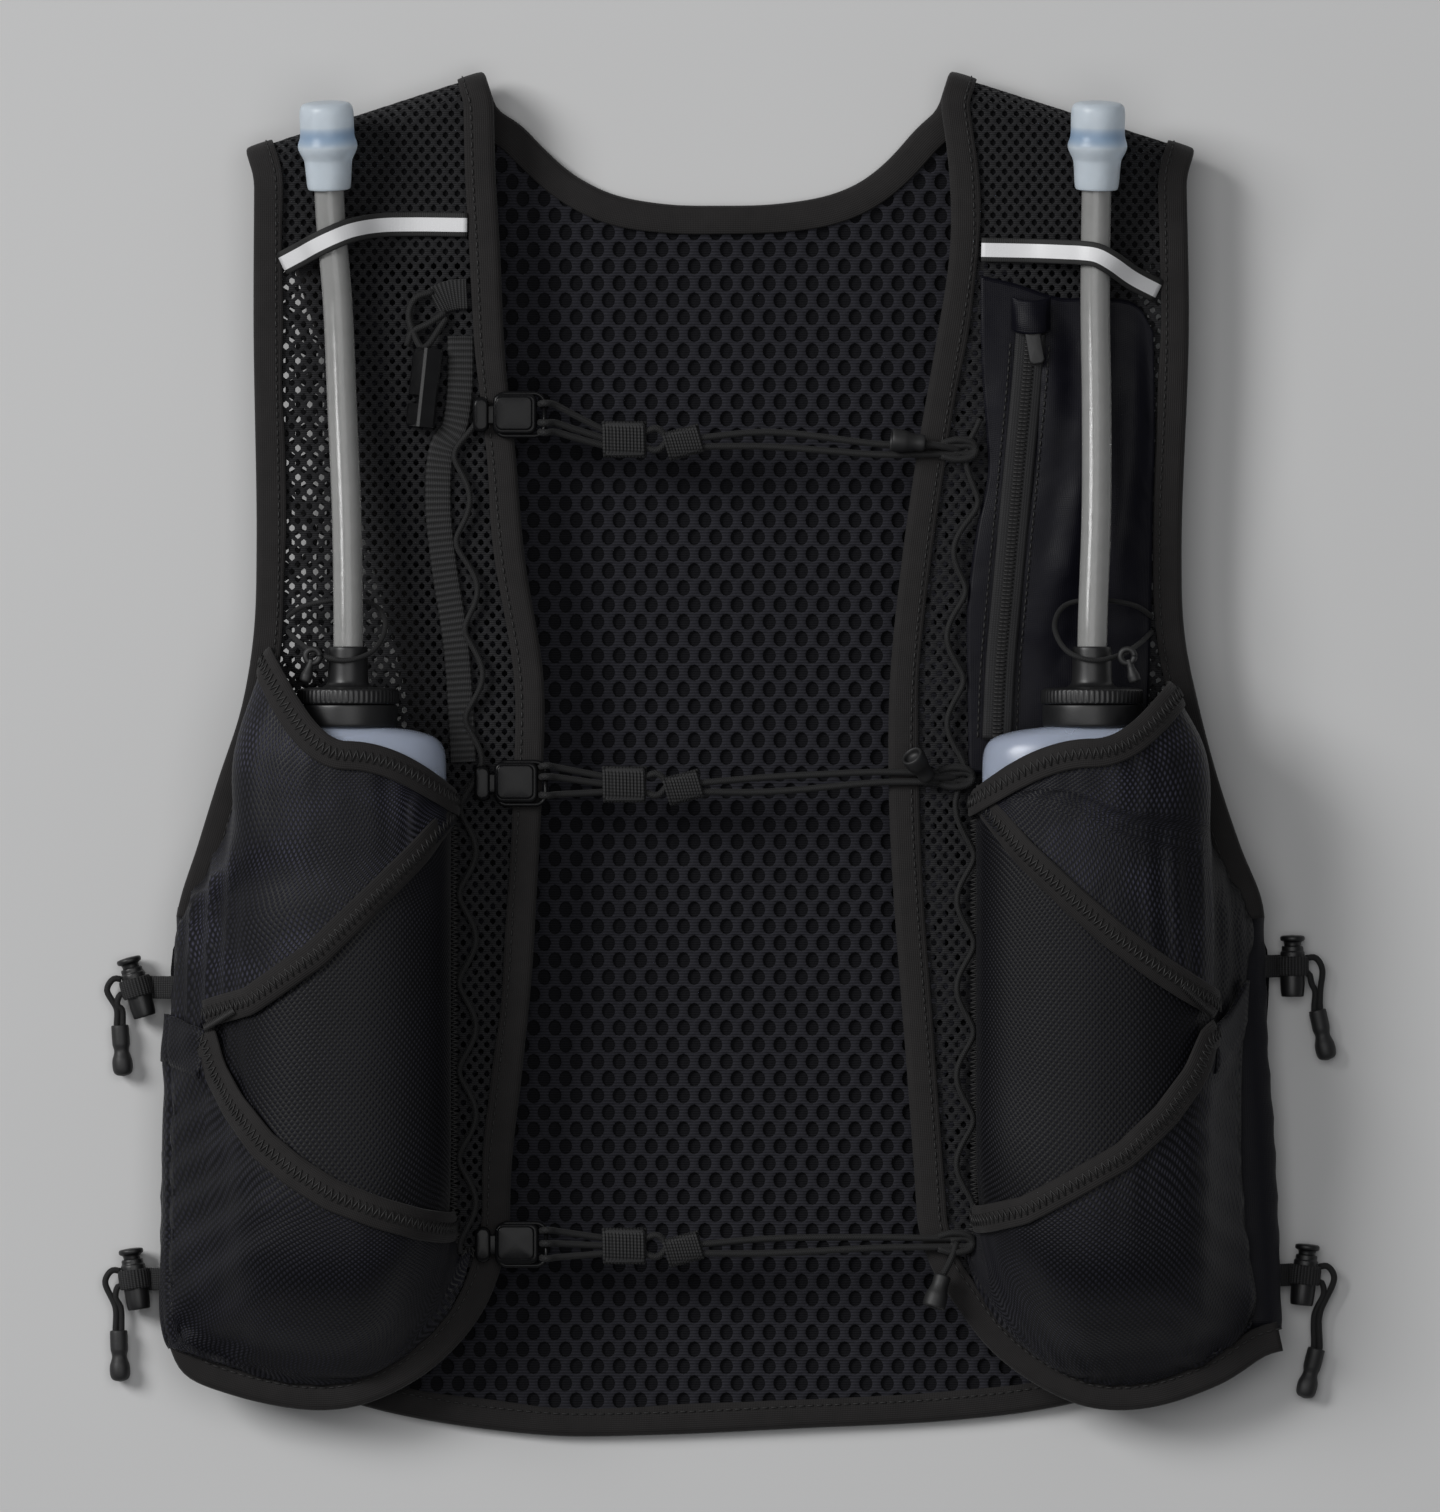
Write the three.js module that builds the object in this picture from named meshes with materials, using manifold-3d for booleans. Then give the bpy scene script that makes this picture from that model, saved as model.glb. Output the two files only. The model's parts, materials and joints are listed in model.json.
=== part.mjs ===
// A running vest with two soft flasks in its front pockets, laid flat on its back, front upwards.
// Millimetres. +X is to the right of someone looking down at the front, +Y is towards the shoulders,
// +Z is up. The origin is on the surface that the vest lies on, under the middle of its outline.

import * as THREE from 'three';
import { mergeVertices } from 'three/addons/utils/BufferGeometryUtils.js';
import Module from 'manifold-3d';

const wasm = await Module();
wasm.setup();

// Driving dimensions

const GAP = 0.3; // left between pieces that are sewn or seated together
const BACK_WALL = 3.0; // spacer mesh of the back
const FRONT_WALL = 2.0; // open mesh of the fronts
const POCKET_WALL = 1.0; // stretch cloth of the pockets
const GUSSET_WALL = 1.2; // woven cloth of the sides
const TAPE_WALL = 1.2; // flat tapes and webbing
const BINDING_WALL = 0.7;
const BINDING_WIDTH = 9.5;
const BINDING_LIP = 0.4; // the folded binding's edge beyond its wall
const FOLD_RADIUS = 9; // the roll of the fronts over the shoulders
const BACK_REST_Z = BACK_WALL / 2;
const BACK_EDGE_Z = BACK_WALL / 2 + GAP + BINDING_WALL; // a bound edge lies on its binding
const SHOULDER_Z = BACK_EDGE_Z + 2 * FOLD_RADIUS;
const FLASK = { x: 122.3, z: 43, wall: 1.2, sides: 12, roundness: 2.3 };
const STRAW = { radius: 4.9, bore: 3.2 };
const CORD_RADIUS = 1.1;
const LOOP_CORD_RADIUS = 0.95;
const SIDES = ['left', 'right'];
const sign = (side) => (side === 'left' ? -1 : 1);

// Short tables with named columns

const table = (names, rows) =>
  rows.map((row) => Object.fromEntries(names.map((name, i) => [name, row[i]])));

// Each front's edges: y, the x of the left and of the right front, and the height of the cloth.
const FRONT_EDGE = ['y', 'left', 'right', 'z'];

// From the round corner of the hem up to the shoulder fold, beside the opening.
const INNER_EDGE = table(FRONT_EDGE, [
  [-155, -70.5, 66.3, 21.5],
  [-134, -69.8, 65.0, 22.0],
  [-104, -66.4, 62.8, 22.5],
  [-72, -63.2, 60.3, 23.0],
  [-43, -61.5, 58.2, 23.0],
  [-11, -59.8, 56.8, 23.0],
  [25, -59.3, 57.2, 23.0],
  [65, -65.5, 61.2, 23.0],
  [102, -68.8, 66.5, 23.0],
  [131, -72.0, 71.5, 22.5],
  [167, -73.7, 77.0, 21.8],
  [192, -75.2, 76.8, 21.0],
  [216, -75.8, 73.8, SHOULDER_Z],
]);

// From the side corner of the hem, up the side and the armhole to the shoulder fold.
const OUTER_EDGE = table(FRONT_EDGE, [
  [-192, -181.5, 180.0, 20.5],
  [-170, -181.5, 177.0, 20.5],
  [-140, -181.0, 173.5, 21.0],
  [-107, -180.5, 172.0, 21.0],
  [-75, -178.5, 174.5, 21.0],
  [-52, -178.0, 178.5, 21.0],
  [-30, -171.3, 170.6, 21.0],
  [-8, -164.5, 163.3, 20.8],
  [15, -157.0, 157.2, 20.4],
  [40, -152.8, 152.2, 20.0],
  [70, -151.8, 151.2, 20.0],
  [140, -152.8, 153.6, 20.0],
  [191, -152.6, 152.8, SHOULDER_Z],
]);

// The hem, from the side corner round to the opening.
const FRONT_HEM = table(FRONT_EDGE, [
  [-192, -181.5, 180.0, 20.5],
  [-203, -176.5, 170.5, 20.5],
  [-209.5, -161.7, 157.0, 20.5],
  [-213.7, -144.0, 143.2, 20.5],
  [-214.8, -130.7, 130.0, 20.5],
  [-212.8, -117.5, 118.0, 20.7],
  [-204.5, -100.0, 101.5, 20.9],
  [-193.7, -87.4, 88.5, 21.1],
  [-181.7, -78.6, 79.5, 21.3],
  [-168.5, -73.3, 70.8, 21.4],
  [-155, -70.5, 66.3, 21.5],
]);

// The back's edges. The neck runs from the left shoulder to the right one.
const NECK = table(['x', 'y'], [
  [-75.8, 216],
  [-66.5, 207.9],
  [-57.8, 199],
  [-49.5, 191.8],
  [-36.3, 185],
  [-18, 181.5],
  [0, 181],
  [18, 181.5],
  [36, 184.4],
  [47, 189],
  [56, 196],
  [65, 206],
  [73.8, 216],
]);
const BACK_HEM = table(['x', 'y'], [
  [-179, -190],
  [-150, -203],
  [-110, -216],
  [-58, -223.6],
  [-23, -223.6],
  [26, -221.4],
  [76, -218.8],
  [110, -214.5],
  [150, -204],
  [180, -191],
]);
// From the hem up the side, round the deep armhole and up to the shoulder.
const BACK_SIDE = table(['out', 'y'], [
  [179.5, -190.5],
  [180.5, -150],
  [180.5, -100],
  [179, -59],
  [160, -52],
  [138, -46],
  [117, -33],
  [104, -13],
  [102, 12],
  [107, 38],
  [115, 68],
  [126, 118],
  [142, 167],
  [152.7, 191],
]);

// The side gussets: how far out their cloth stands at each y, from the middle of the vest. A section runs
// from under the front's edge out to that line and back in over the back's edge: each of its points lies a
// share of the way from the seams, set in from the edges, to the line.
const GUSSET_LINE = table(['y', 'left', 'right'], [
  [-181, -184.6, 184.8],
  [-150, -184.4, 183.8],
  [-118, -183.6, 182.6],
  [-90, -182.0, 180.8],
  [-63, -180.4, 180.2],
]);
const GUSSET_SECTION = table(['seam', 'share', 'z'], [
  ['front', 0, 18.4],
  ['front', 0.72, 16.6],
  ['front', 1, 11.6],
  ['back', 0.8, 7.4],
  ['back', 0, 5.4],
]);
const GUSSET_SEAM = { front: 6.5, back: 172 };

// The stretch pockets over the flasks, from the hem up to the mouth. A row is one section: the y of its
// inner foot, crown and outer foot, the feet's distances from the middle of the vest, and the form that the
// cloth is pulled over: its half widths towards the opening and towards the side, and its half depth.
const POCKET_SECTIONS = table(
  ['in_y', 'crown_y', 'out_y', 'in_x', 'out_left', 'out_right', 'half_in', 'half_out', 'half_depth'],
  [
    [-165, -203, -193, 82.5, 168, 165, 30, 31, 1.5],
    [-160, -196, -187, 84.5, 173.5, 170, 33, 34, 6],
    [-152, -186, -180, 86, 178.5, 174.5, 35.5, 38, 14.4],
    [-142, -170, -168, 86, 179, 173, 37, 37.5, 19.6],
    [-130, -150, -152, 86, 179, 170.5, 37.5, 37.5, 21],
    [-100, -108, -118, 86, 178.2, 169.5, 37.5, 37.5, 21],
    [-66, -64, -74, 86, 175, 170, 37.5, 37.5, 21],
    [-38, -28, -32, 86, 160.5, 160, 37.5, 36.8, 21],
    [-22, -9, 0, 86, 151, 150.5, 37.5, 34.8, 21],
    [-13, 1, 30, 86, 144.5, 144, 36.5, 24, 21],
  ],
);
const POCKET_COLUMNS = 11;
const POCKET_FOOT = 0.5; // the outer layers stop this share of a column above the outer seam

// The free edges of the two layers that cross over each flask pocket: distance from the middle, and y.
const UPPER_LAYER_EDGE = table(['x', 'y'], [
  [80, -33],
  [91, -34],
  [108, -48],
  [124, -61],
  [142.5, -76],
  [160, -87],
  [186, -89],
]);
const LOWER_LAYER_EDGE = table(['x', 'y'], [
  [80, -149],
  [97, -147],
  [115, -141],
  [131.7, -132],
  [146.3, -119],
  [157, -103],
  [163, -90.5],
  [186, -89.8],
]);

const FLASK_SECTIONS = table(['y', 'half_width', 'half_depth', 'inside'], [
  [-163, 17, 8, true],
  [-157, 28, 14, false],
  [-145, 33, 17.5, true],
  [-128, 34.2, 18.5, true],
  [-22, 34.2, 18.5, true],
  [-5, 33, 18, true],
  [3, 28, 16, true],
  [7.5, 15, 13, true],
  [9, 12.3, 12.3, false],
  [16, 12.3, 12.3, true],
]);

// Where each straw runs, from its socket in the cap to its valve.
const STRAW_ROUTE = table(['left', 'right', 'y', 'z'], [
  [-122.3, 122.3, 28.6, 43],
  [-122.2, 122.5, 43, 42.6],
  [-122.8, 123.8, 79, 38.6],
  [-124.4, 124.0, 115, 33.6],
  [-126.0, 123.6, 150, 30.6],
  [-128.4, 123.9, 179, 31.0],
  [-129.0, 124.2, 196, 33.0],
]);
const STRAW_SEATED = 9.6; // how deep the straw's end sits in its valve

// The reflective tapes that hold the straws, over the straw from the armhole to the opening.
const KEEPER_ROUTES = {
  left: table(['x', 'y', 'rise'], [
    [-142.0, 163.6, 0],
    [-138.0, 165.6, 5.5],
    [-133.2, 168.0, 12.8],
    [-127.6, 170.6, 14.9],
    [-121.6, 173.0, 12.4],
    [-112.0, 175.0, 3.6],
    [-102.0, 175.4, 0],
    [-83.4, 175.2, 0],
  ]),
  right: table(['x', 'y', 'rise'], [
    [86.2, 167.0, 0],
    [104.0, 166.6, 1.6],
    [114.0, 166.0, 8.6],
    [119.0, 165.6, 13.2],
    [124.0, 164.8, 14.9],
    [129.0, 162.2, 13.4],
    [136.0, 157.6, 6.0],
    [142.0, 154.6, 0],
  ]),
};
const KEEPER_WIDTH = 8;

const DAISY_ROUTE = table(['x', 'y'], [
  [-85.6, 139],
  [-85.6, 126],
  [-86.2, 116],
  [-87.8, 108],
  [-91.5, 102],
  [-93.0, 85],
  [-91.3, 65],
  [-87.2, 38],
  [-85.6, 18],
  [-84.6, -3],
]);
const DAISY_WIDTH = 8.5;

// The chest straps, from top to bottom. Each has a buckle on the left front and an elastic cord, doubled,
// that runs through two webbing wraps to a hitch on the right front, with a sleeve over its loose end.
const STRAPS = table(
  ['name', 'buckle_x', 'buckle_y', 'wrap_y', 'hitch_x', 'hitch_y', 'tip_x', 'tip_y', 'tip_turn'],
  [
    ['top', -66.0, 112.5, 104.4, 80.0, 101.0, 62.5, 105.4, 84],
    ['mid', -65.6, -9.0, -9.4, 79.0, -7.0, 66.0, -1.6, 56],
    ['low', -65.4, -161.0, -161.6, 79.0, -160.4, 73.5, -171.0, 163],
  ],
);
const WRAPS = table(['x', 'length', 'width', 'depth'], [
  [-31.5, 15, 12.2, 5.4],
  [-12.0, 12.6, 9.8, 5.0],
]);
const STRAP_Z = 27.4; // middle of the cords where they leave the buckles
const STRAP_SAG = 3.2;
const STRAND_SPREAD = 1.35; // half the distance between the two strands
const TIP = { radius: 3.4, length: 17 };

// The cord locks at the sides: the middle of each lock, its turn about the vertical, and the start of the
// sleeve on its cord with the sleeve's turn.
const SIDE_LOCKS = table(
  ['name', 'side', 'lock_x', 'lock_y', 'turn', 'tip_x', 'tip_y', 'tip_turn'],
  [
    ['left_upper', 'left', -193.0, -76.5, 16, -198.6, -89.0, 4],
    ['left_lower', 'left', -193.6, -173.0, 8, -199.0, -190.0, 2],
    ['right_upper', 'right', 189.4, -69.5, 0, 197.6, -84.0, 12],
    ['right_lower', 'right', 193.4, -171.6, -6, 197.4, -196.0, -14],
  ],
);
const LOCK = { radius: 3.8, knob: 3.4, neck: 2.6, length: 17.5 };
const LOCK_Z = LOCK.radius + GAP;

// Helpers: curves, walls, bands and joins

const vec = (x, y, z) => new THREE.Vector3(x, y, z);
const mix = (a, b, t) => a.clone().lerp(b, t);
const spline = (points) => new THREE.CatmullRomCurve3(points, false, 'centripetal');

// Turns a closed geometry the right way round: its faces point outwards.
function outward(geometry) {
  const solid = mergeVertices(bare(geometry), 1e-4);
  const index = solid.index.array;
  const at = (i) => new THREE.Vector3().fromBufferAttribute(solid.attributes.position, index[i]);
  let volume = 0;
  for (let i = 0; i < index.length; i += 3) volume += at(i).dot(at(i + 1).cross(at(i + 2)));
  if (volume < 0) {
    for (let i = 0; i < index.length; i += 3) {
      [index[i + 1], index[i + 2]] = [index[i + 2], index[i + 1]];
    }
  }
  return solid;
}

// A copy of a geometry that keeps only its positions.
function bare(geometry) {
  const copy = new THREE.BufferGeometry();
  copy.setAttribute('position', geometry.getAttribute('position').clone());
  if (geometry.index) copy.setIndex(geometry.index.clone());
  return copy;
}

// Joins overlapping closed geometries into one body.
function fuse(geometries) {
  const solids = geometries.map((geometry) => {
    const closed = outward(geometry);
    return new wasm.Manifold(
      new wasm.Mesh({
        numProp: 3,
        vertProperties: new Float32Array(closed.attributes.position.array),
        triVerts: new Uint32Array(closed.index.array),
      }),
    );
  });
  const joined = solids.reduce((all, solid) => all.add(solid)).getMesh();
  const geometry = new THREE.BufferGeometry();
  geometry.setAttribute('position', new THREE.BufferAttribute(joined.vertProperties, 3));
  geometry.setIndex(new THREE.BufferAttribute(joined.triVerts, 1));
  return geometry;
}

function meshFrom(positions, index) {
  const geometry = new THREE.BufferGeometry();
  const flat = positions.flatMap((p) => [p.x, p.y, p.z]);
  geometry.setAttribute('position', new THREE.Float32BufferAttribute(flat, 3));
  geometry.setIndex(index);
  return geometry;
}

// A grid of points over four edges that meet at their corners. The edges are functions of 0 to 1, left to
// right along the bottom and top, and bottom to top along the left and right.
function fillBetween({ bottom, top, left, right }, columns, rows) {
  const grid = [];
  for (let r = 0; r <= rows; r += 1) {
    const v = r / rows;
    grid.push([]);
    for (let c = 0; c <= columns; c += 1) {
      const u = c / columns;
      const across = mix(left(v), right(v), u);
      const along = mix(bottom(u), top(u), v);
      const corners = mix(mix(bottom(0), bottom(1), u), mix(top(0), top(1), u), v);
      grid[r].push(across.add(along).sub(corners));
    }
  }
  return grid;
}

// The cloth's normal at a grid point, upwards where the rows run up and the columns run right.
function normalAt(grid, r, c) {
  const rows = grid.length - 1;
  const columns = grid[0].length - 1;
  const along = grid[Math.min(r + 1, rows)][c].clone().sub(grid[Math.max(r - 1, 0)][c]);
  const across = grid[r][Math.min(c + 1, columns)].clone().sub(grid[r][Math.max(c - 1, 0)]);
  return across.cross(along).normalize();
}

// A grid moved along its own normals.
const offsetGrid = (grid, distance) =>
  grid.map((row, r) => row.map((p, c) => p.clone().addScaledVector(normalAt(grid, r, c), distance)));

// A closed wall of even thickness on both sides of a grid.
function wall(grid, thickness) {
  const faces = [offsetGrid(grid, thickness / 2), offsetGrid(grid, -thickness / 2)];
  const rows = grid.length;
  const columns = grid[0].length;
  const at = (face, r, c) => (face * rows + r) * columns + c;
  const index = [];
  const quad = (a, b, c, d) => index.push(a, b, c, a, c, d);
  for (let r = 0; r < rows - 1; r += 1) {
    for (let c = 0; c < columns - 1; c += 1) {
      quad(at(0, r, c), at(0, r, c + 1), at(0, r + 1, c + 1), at(0, r + 1, c));
      quad(at(1, r, c), at(1, r + 1, c), at(1, r + 1, c + 1), at(1, r, c + 1));
    }
    quad(at(0, r, 0), at(0, r + 1, 0), at(1, r + 1, 0), at(1, r, 0));
    quad(at(0, r, columns - 1), at(1, r, columns - 1), at(1, r + 1, columns - 1), at(0, r + 1, columns - 1));
  }
  for (let c = 0; c < columns - 1; c += 1) {
    quad(at(0, 0, c), at(1, 0, c), at(1, 0, c + 1), at(0, 0, c + 1));
    quad(at(0, rows - 1, c), at(0, rows - 1, c + 1), at(1, rows - 1, c + 1), at(1, rows - 1, c));
  }
  return outward(meshFrom(faces.flat(2), index));
}

// The height of a grid's upper face over a point of the floor.
function heightOver(grid, wallThickness, x, y) {
  const top = offsetGrid(grid, wallThickness / 2);
  const spot = vec(x, y, 0);
  let height = -Infinity;
  for (let r = 0; r < top.length - 1; r += 1) {
    for (let c = 0; c < top[0].length - 1; c += 1) {
      const quad = [top[r][c], top[r][c + 1], top[r + 1][c + 1], top[r + 1][c]];
      [[0, 1, 2], [0, 2, 3]].forEach((corners) => {
        const points = corners.map((i) => quad[i]);
        const flat = new THREE.Triangle(...points.map((p) => vec(p.x, p.y, 0)));
        const share = flat.getBarycoord(spot, vec(0, 0, 0));
        if (share && Math.min(share.x, share.y, share.z) >= -1e-6) {
          height = Math.max(height, points[0].z * share.x + points[1].z * share.y + points[2].z * share.z);
        }
      });
    }
  }
  if (!Number.isFinite(height)) throw new Error(`no cloth at ${x}, ${y}`);
  return height;
}

// A band: a section of [out, up] pairs carried along a path of points, each with its own two directions.
function band(path, section) {
  const positions = path.flatMap(({ point, out, up }) =>
    section.map(([o, u]) => point.clone().addScaledVector(out, o).addScaledVector(up, u)),
  );
  const n = section.length;
  const index = [];
  for (let i = 0; i < path.length - 1; i += 1) {
    for (let k = 0; k < n; k += 1) {
      const a = i * n + k;
      const b = i * n + ((k + 1) % n);
      index.push(a, b, b + n, a, b + n, a + n);
    }
  }
  const cap = THREE.ShapeUtils.triangulateShape(section.map(([o, u]) => new THREE.Vector2(o, u)), []);
  const last = (path.length - 1) * n;
  cap.forEach(([a, b, c]) => index.push(c, b, a, last + a, last + b, last + c));
  return outward(meshFrom(positions, index));
}

const flatSection = (width, thickness) => [
  [-width / 2, -thickness / 2],
  [width / 2, -thickness / 2],
  [width / 2, thickness / 2],
  [-width / 2, thickness / 2],
];

// The folded section of a binding on the edge of a wall: 0 is the wall's edge, and out is away from it.
function foldedSection(wallThickness) {
  const slot = wallThickness / 2 + GAP;
  const face = slot + BINDING_WALL;
  const tail = BINDING_LIP + BINDING_WALL - BINDING_WIDTH;
  return [
    [GAP, slot],
    [GAP, -slot],
    [tail, -slot],
    [tail, -face],
    [BINDING_LIP + BINDING_WALL, -face],
    [BINDING_LIP + BINDING_WALL, face],
    [tail, face],
    [tail, slot],
  ];
}

// The path of a binding along points on the edge of a wall, each with the wall's normal and a point inside.
const edgePath = (edge) =>
  edge.map(({ point, normal, inside }) => {
    const out = point.clone().sub(inside).normalize();
    return { point, out, up: normal };
  });

const edgePoint = (grid, r, c, insideR, insideC) => ({
  point: grid[r][c],
  normal: normalAt(grid, r, c),
  inside: grid[insideR][insideC],
});

// A binding made for the back's wall, drawn in to fit the fronts' thinner wall.
const FRONT_DRAW = (FRONT_WALL / 2 + GAP + BINDING_WALL) / (BACK_WALL / 2 + GAP + BINDING_WALL);
const drawnIn = (spot) => ({ ...spot, normal: spot.normal.clone().multiplyScalar(FRONT_DRAW) });

// The way that a polyline runs at one of its points.
function runAt(points, i) {
  const [before, after] = [points[Math.max(i - 1, 0)], points[Math.min(i + 1, points.length - 1)]];
  return after.clone().sub(before).normalize();
}

// A flat tape along points, its width level and square to its run.
function levelTape(points, width, thickness) {
  const path = points.map((point, i) => {
    const run = runAt(points, i);
    const out = vec(0, 0, 1).cross(run).normalize();
    return { point, out, up: run.cross(out) };
  });
  return band(path, flatSection(width, thickness));
}

// A round cord or tube along points, with a bore where one is given.
function tube(points, radius, { steps, sides = 6, bore = 0 }) {
  const ring = (r) =>
    Array.from({ length: sides }, (_, i) => {
      const angle = (2 * Math.PI * i) / sides;
      return new THREE.Vector2(r * Math.cos(angle), r * Math.sin(angle));
    });
  const section = new THREE.Shape(ring(radius));
  if (bore) section.holes.push(new THREE.Path(ring(bore)));
  return new THREE.ExtrudeGeometry(section, { steps, curveSegments: 1, extrudePath: spline(points) });
}

const lathe = (profile, segments) =>
  new THREE.LatheGeometry(profile.map(([r, y]) => new THREE.Vector2(r, y)), segments);

// A plate of a shape in the XY plane, from one height to another.
const plate = (shape, low, high) =>
  new THREE.ExtrudeGeometry(shape, { depth: high - low, bevelEnabled: false, curveSegments: 1 })
    .translate(0, 0, low);

// A rectangle with round corners, centred on a point.
function roundRectangle(x, y, width, height, radius, Kind = THREE.Shape) {
  const shape = new Kind();
  const [w, h] = [width / 2, height / 2];
  const corners = [[w - radius, h - radius, 0], [radius - w, h - radius, 90], [radius - w, radius - h, 180],
    [w - radius, radius - h, 270]];
  corners.forEach(([cx, cy, from]) => {
    const start = THREE.MathUtils.degToRad(from);
    shape.absarc(x + cx, y + cy, radius, start, start + Math.PI / 2, false);
  });
  return shape;
}

// Materials

const cloth = (color, roughness = 0.9) => new THREE.MeshStandardMaterial({ color, roughness, metalness: 0 });
const MATERIALS = {
  spacer_mesh: cloth('#16161a'),
  open_mesh: cloth('#1b1b1e'),
  stretch_knit: cloth('#14151c', 0.75),
  woven_nylon: cloth('#171824', 0.6),
  binding: cloth('#242322'),
  webbing: cloth('#1d1d1e'),
  reflective: cloth('#c9cbcd', 0.4),
  elastic: cloth('#1a1a1b', 0.8),
  black_plastic: cloth('#101012', 0.25),
  rubber: cloth('#2a2a2b', 0.7),
  flask_film: cloth('#b9c4d4', 0.25),
  straw: cloth('#b4b7b7', 0.25),
  silicone: cloth('#d5dfea', 0.35),
};

const vest = new THREE.Group();

function add(name, geometry, material) {
  const mesh = new THREE.Mesh(geometry, MATERIALS[material]);
  mesh.name = name;
  vest.add(mesh);
  return mesh;
}

// Fronts: one wall each from the hem, over the shoulder in a roll, to a tail that meets the back's shoulder

const FRONT = { columns: 5, rows: 11, roll: 4, tail: 3 };

const frontEdge = (rows, side) => spline(rows.map((row) => vec(row[side], row.y, row.z)));

function frontGrid(side) {
  const inner = frontEdge(INNER_EDGE, side);
  const outer = frontEdge(OUTER_EDGE, side);
  const hem = frontEdge(FRONT_HEM, side);
  const foldInner = inner.getPoint(1);
  const foldOuter = outer.getPoint(1);
  const leftFirst = side === 'left';
  const edges = {
    bottom: (u) => hem.getPoint(leftFirst ? u : 1 - u),
    top: (u) => (leftFirst ? mix(foldOuter, foldInner, u) : mix(foldInner, foldOuter, u)),
    left: (v) => (leftFirst ? outer : inner).getPoint(v),
    right: (v) => (leftFirst ? inner : outer).getPoint(v),
  };
  const grid = fillBetween(edges, FRONT.columns, FRONT.rows);
  const foldLine = edges.top(1).sub(edges.top(0)).normalize();
  const away = vec(0, 0, 1).cross(foldLine);
  const fold = grid[FRONT.rows];
  for (let k = 1; k <= FRONT.roll; k += 1) {
    const turn = (Math.PI * k) / FRONT.roll;
    grid.push(
      fold.map((p) =>
        p.clone()
          .addScaledVector(away, FOLD_RADIUS * Math.sin(turn))
          .add(vec(0, 0, FOLD_RADIUS * (Math.cos(turn) - 1))),
      ),
    );
  }
  const rolled = grid[grid.length - 1];
  grid.push(rolled.map((p) => p.clone().addScaledVector(away, -FRONT.tail)));
  return grid;
}

const frontGrids = Object.fromEntries(SIDES.map((side) => [side, frontGrid(side)]));
SIDES.forEach((side) => add(`front_panel_${side}`, wall(frontGrids[side], FRONT_WALL), 'open_mesh'));

const onFront = (side, x, y, rise) => vec(x, y, heightOver(frontGrids[side], FRONT_WALL, x, y) + rise);

// Back: one wall from the hem to the neck and both shoulders

const BACK = { strapColumns: 2, neckColumns: 8, rows: 11 };

function backGrid() {
  const columns = 2 * BACK.strapColumns + BACK.neckColumns;
  const strap = BACK.strapColumns / columns;
  const low = (x, y) => vec(x, y, BACK_EDGE_Z);
  const neck = spline(NECK.map(({ x, y }) => low(x, y)));
  const hem = spline(BACK_HEM.map(({ x, y }) => low(x, y)));
  const side = (s) => spline(BACK_SIDE.map(({ out, y }) => low(s * out, y)));
  const [left, right] = [side(-1), side(1)];
  const top = (u) => {
    if (u <= strap) return mix(left.getPoint(1), neck.getPoint(0), u / strap);
    if (u >= 1 - strap) return mix(neck.getPoint(1), right.getPoint(1), (u - 1 + strap) / strap);
    return neck.getPoint((u - strap) / (1 - 2 * strap));
  };
  const edges = {
    bottom: (u) => hem.getPoint(u),
    top,
    left: (v) => left.getPoint(v),
    right: (v) => right.getPoint(v),
  };
  const grid = fillBetween(edges, columns, BACK.rows);
  // The shoulder edges stop just short of the fronts' tails.
  [0, 1].forEach((end) => {
    const [from, to] = end ? [neck.getPoint(1), right.getPoint(1)] : [left.getPoint(1), neck.getPoint(0)];
    const shoulder = to.sub(from);
    const inwards = shoulder.normalize().cross(vec(0, 0, 1)).multiplyScalar(FRONT.tail + GAP);
    for (let c = 0; c <= BACK.strapColumns; c += 1) grid[BACK.rows][end ? columns - c : c].add(inwards);
  });
  // Away from the bound edges the cloth sinks to the surface that it lies on.
  const rim = Object.values(edges).flatMap((edge) => Array.from({ length: 81 }, (_, i) => edge(i / 80)));
  const clear = grid.map((row) =>
    row.map((p) => Math.min(...rim.map((q) => q.distanceTo(p))) > BINDING_WIDTH));
  grid.forEach((row, r) =>
    row.forEach((p, c) => {
      const around = [-1, 0, 1].flatMap((dr) => [-1, 0, 1].map((dc) => clear[r + dr]?.[c + dc]));
      if (around.every(Boolean)) p.z = BACK_REST_Z;
    }),
  );
  return grid;
}

const back = backGrid();
add('back_panel', wall(back, BACK_WALL), 'spacer_mesh');

// Bindings: folded tapes over the edges of the walls

function frontInnerEdge(side) {
  const grid = frontGrids[side];
  const last = FRONT.columns;
  const [edge, beside] = side === 'left' ? [last, last - 1] : [0, 1];
  const hem = grid[0].map((_, c) => edgePoint(grid, 0, c, 1, c === edge ? beside : c));
  if (side === 'right') hem.reverse();
  const up = grid.slice(1).map((_, i) => edgePoint(grid, i + 1, edge, i + 1, beside));
  return [...hem, ...up.slice(0, -2)].map(drawnIn).concat(up.slice(-2));
}

function neckEdge() {
  const r = BACK.rows;
  const first = BACK.strapColumns;
  return Array.from({ length: BACK.neckColumns + 1 }, (_, i) => {
    const spot = edgePoint(back, r, first + i, r - 1, first + i);
    return { ...spot, normal: spot.normal.negate() };
  });
}

// One tape round the whole opening: the left hem and edge, the neck, then the right edge and hem.
const opening = [
  ...frontInnerEdge('left'),
  ...neckEdge().slice(1, -1),
  ...frontInnerEdge('right').reverse(),
];
add('edge_binding', band(edgePath(opening), foldedSection(BACK_WALL)), 'binding');

const ARMHOLE = { low: -48, backTop: 180 }; // its binding runs between these heights

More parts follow.
